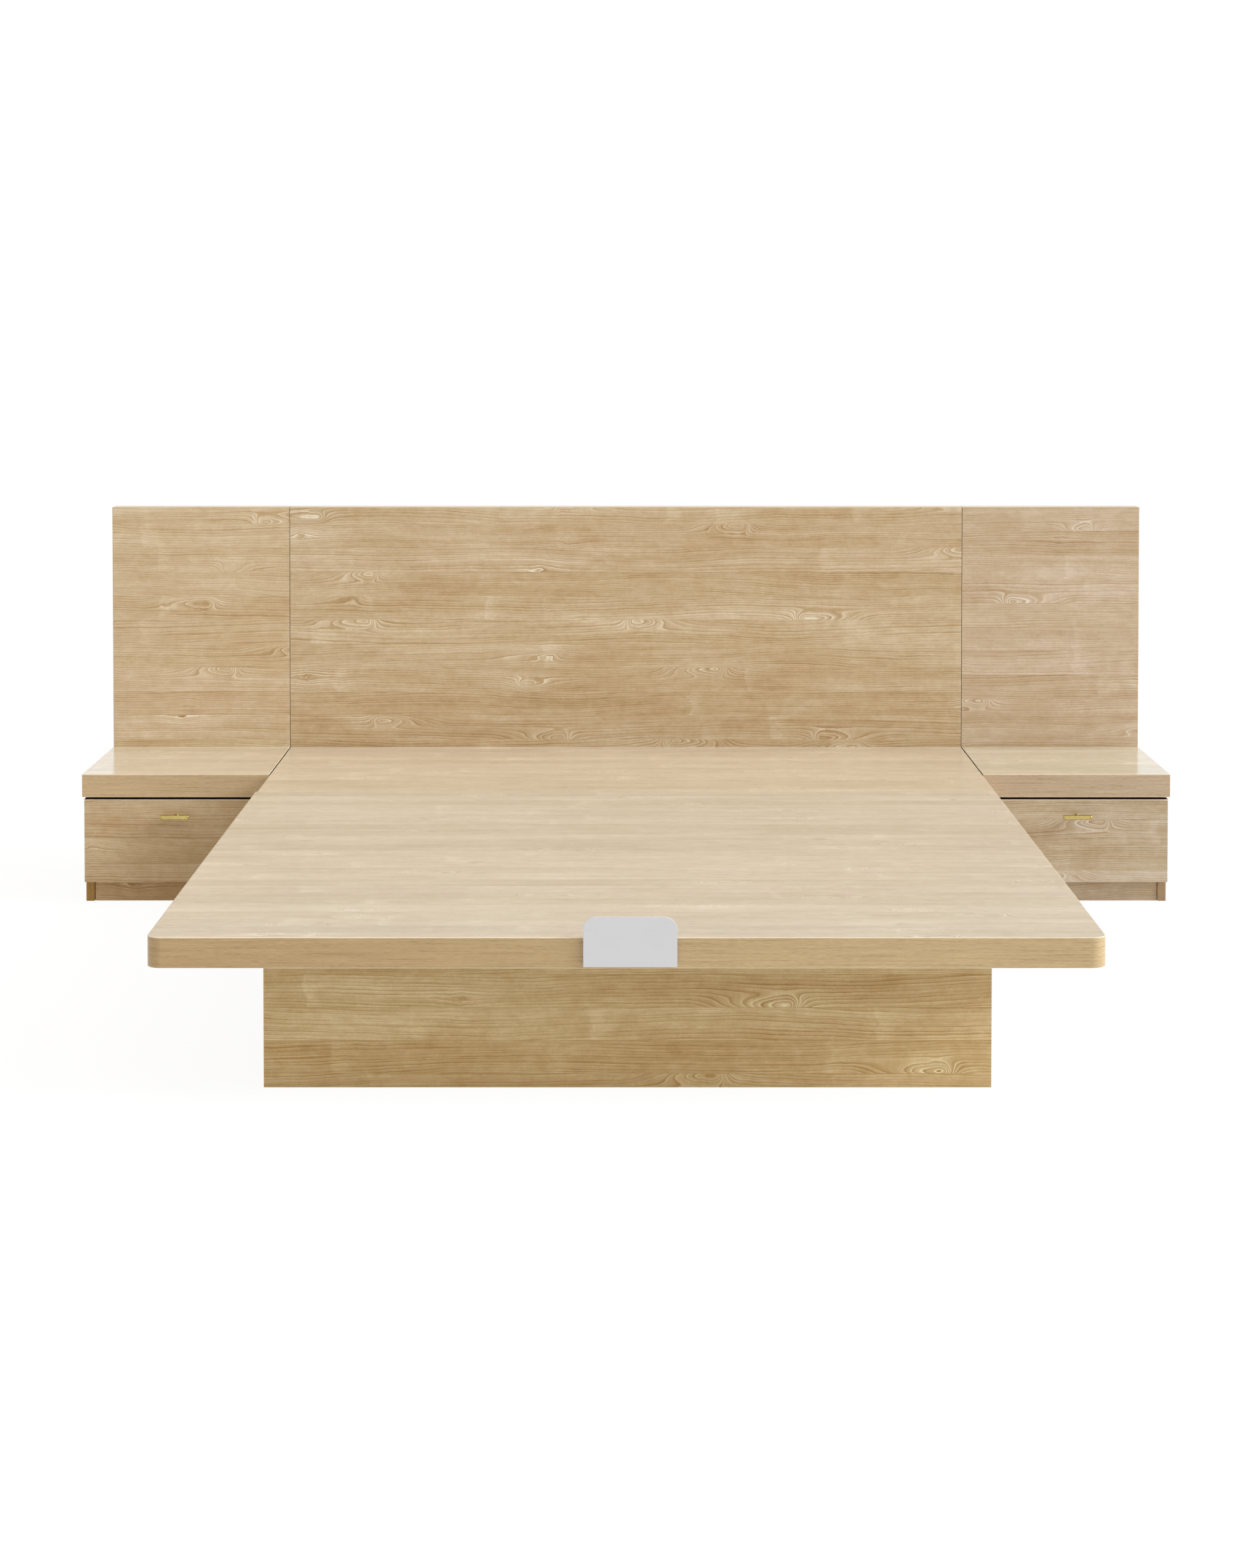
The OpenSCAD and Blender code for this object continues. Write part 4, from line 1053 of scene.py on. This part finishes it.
# the left tint is warmer and the right one cooler: painted warm shade on the left drawer, in the deck's
# shadow, and painted cool lamp light on the right
for side, turn, shift, tint in (("left", LEVEL, (1.3, 0.53, 0), (0.968, 0.91, 0.83)),
                                ("right", TURNED, (6.799, -0.0155, 0), (0.862, 0.90, 0.994))):
    body = f"{side}_drawer"
    low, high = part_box(f"{side}_drawer_front")
    top_z = high.z - TOP_ROOM

    def top_front_edge(a, b):
        return min(a.z, b.z) > top_z - SAME_PLACE and max(a.y, b.y) < low.y + SAME_PLACE

    front = add_block(f"{side}_drawer_front_shaped", low, Vector((high.x, high.y, top_z)))
    shape(front, top_front_edge, "EDGE")
    bpy.ops.mesh.bevel(offset=TOP_ARRIS, segments=2, affect="EDGES")
    close_piece(front)
    ease_sharp(front, FINE_ARRIS)
    close_piece(front)
    drawer_laminate = laminate(f"{side}_drawer_laminate", turn, shift, tint=tint)
    dress(front, drawer_laminate, arris_highlight, gap_shade, faces=drawer_front_faces)
    stands_for(front, "laminate_upright", f"{side}_drawer_front", body=body)
    along_box = birch(f"{side}_drawer_side_birch", SIDEWAYS)
    across_box = birch(f"{side}_drawer_cross_birch", FLAT)
    paint(along_box, f"{side}_drawer_sides")
    paint(across_box, f"{side}_drawer_back")
    eased_board(f"{side}_drawer_bottom", "drawer_board", across_box, body=body, arris=BOTTOM_ARRIS)

# ---- Drawer pulls ------------------------------------------------------------
# A turned brass bar on one post with a foot, satin finished and screwed on from inside the drawer.
# A fine groove sets off a collar at each rounded end.

BAR_R, BAR_HALF = 5 * MM, 31 * MM
COLLAR_R, COLLAR = 5.4 * MM, 3 * MM
GROOVE, GROOVE_DEPTH = 0.7 * MM, 0.7 * MM
END_ROUND = 1.6 * MM
CHAMFER = 0.3 * MM
FOOT_R, FOOT = 4.5 * MM, 1.5 * MM
POST_R = 4 * MM
REACH = 20 * MM    # from the drawer front to the bar's axis
POST_SHORT = 2 * MM    # the post ends inside the bar, this far from its axis
BRASS = ((0.40, 0.30, 0.085), (0.54, 0.41, 0.14), (0.67, 0.54, 0.235))


def turned(name, profile, centre, axis, steps=40):
    """A turned piece: a profile of (along, radius) points spun round an axis through a centre."""
    out = Vector((0, 0, 1))
    bpy.ops.object.select_all(action="DESELECT")
    bpy.ops.mesh.primitive_plane_add(size=1, location=(0, 0, 0))
    piece = bpy.context.object
    piece.name = name
    bpy.ops.object.mode_set(mode="EDIT")
    bpy.ops.mesh.select_mode(type="VERT")
    bpy.ops.mesh.select_all(action="SELECT")
    bpy.ops.mesh.merge(type="CENTER")
    points = [centre + axis * along + out * radius for along, radius in profile]
    bpy.ops.transform.translate(value=points[0])
    for before, after in zip(points, points[1:]):
        bpy.ops.mesh.extrude_vertices_move(TRANSFORM_OT_translate={"value": after - before})
    bpy.ops.mesh.select_all(action="SELECT")
    bpy.ops.mesh.spin(steps=steps, angle=2 * math.pi, center=centre, axis=axis)
    bpy.ops.mesh.select_all(action="SELECT")
    bpy.ops.mesh.remove_doubles(threshold=1e-5)
    return close_piece(piece, smooth=True)


def rounded_end(along, radius, rise, steps=4):
    """Profile points that round a turned end over."""
    turns = [math.pi / 2 * i / steps for i in range(steps + 1)]
    return [(along + rise * math.sin(a), radius - rise + rise * math.cos(a)) for a in turns]


def bar_end(side):
    """Half of the bar's profile, from the groove near one end out to that end."""
    shoulder = BAR_HALF - COLLAR
    points = [(shoulder - GROOVE, BAR_R), (shoulder - GROOVE * 0.75, BAR_R - GROOVE_DEPTH),
              (shoulder - GROOVE * 0.25, BAR_R - GROOVE_DEPTH), (shoulder, COLLAR_R - CHAMFER),
              (shoulder + CHAMFER, COLLAR_R)]
    points += rounded_end(BAR_HALF - END_ROUND, COLLAR_R, END_ROUND)
    points.append((BAR_HALF, 0.0))
    return [(side * along, radius) for along, radius in points]


bar_profile = list(reversed(bar_end(-1))) + bar_end(1)
post_profile = [(0, 0.0), (0, FOOT_R), (-FOOT + CHAMFER, FOOT_R), (-FOOT, FOOT_R - CHAMFER),
                (-FOOT, POST_R), (-REACH + POST_SHORT, POST_R), (-REACH + POST_SHORT, 0.0)]
satin_brass = metal("satin_brass", BRASS, (0.16, 0.28), mottle=90.0, lines=(12.0, 1500.0, 1500.0))
for side in ("left", "right"):
    low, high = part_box(f"{side}_pull")
    middle = Vector(((low.x + high.x) / 2, high.y - REACH, (low.z + high.z) / 2))
    pull = turned(f"{side}_pull_bar", bar_profile, middle, Vector((1, 0, 0)))
    post = turned(f"{side}_pull_post", post_profile, middle + Vector((0, REACH, 0)), Vector((0, 1, 0)))
    only(pull)
    apply_modifier(pull, "BOOLEAN", operation="UNION", object=post, solver="EXACT")
    bpy.data.objects.remove(post)
    bpy.ops.object.shade_smooth_by_angle(angle=SMOOTH_UP_TO)
    dress(pull, satin_brass)
    stands_for(pull, "satin_brass", f"{side}_pull", body=f"{side}_drawer")
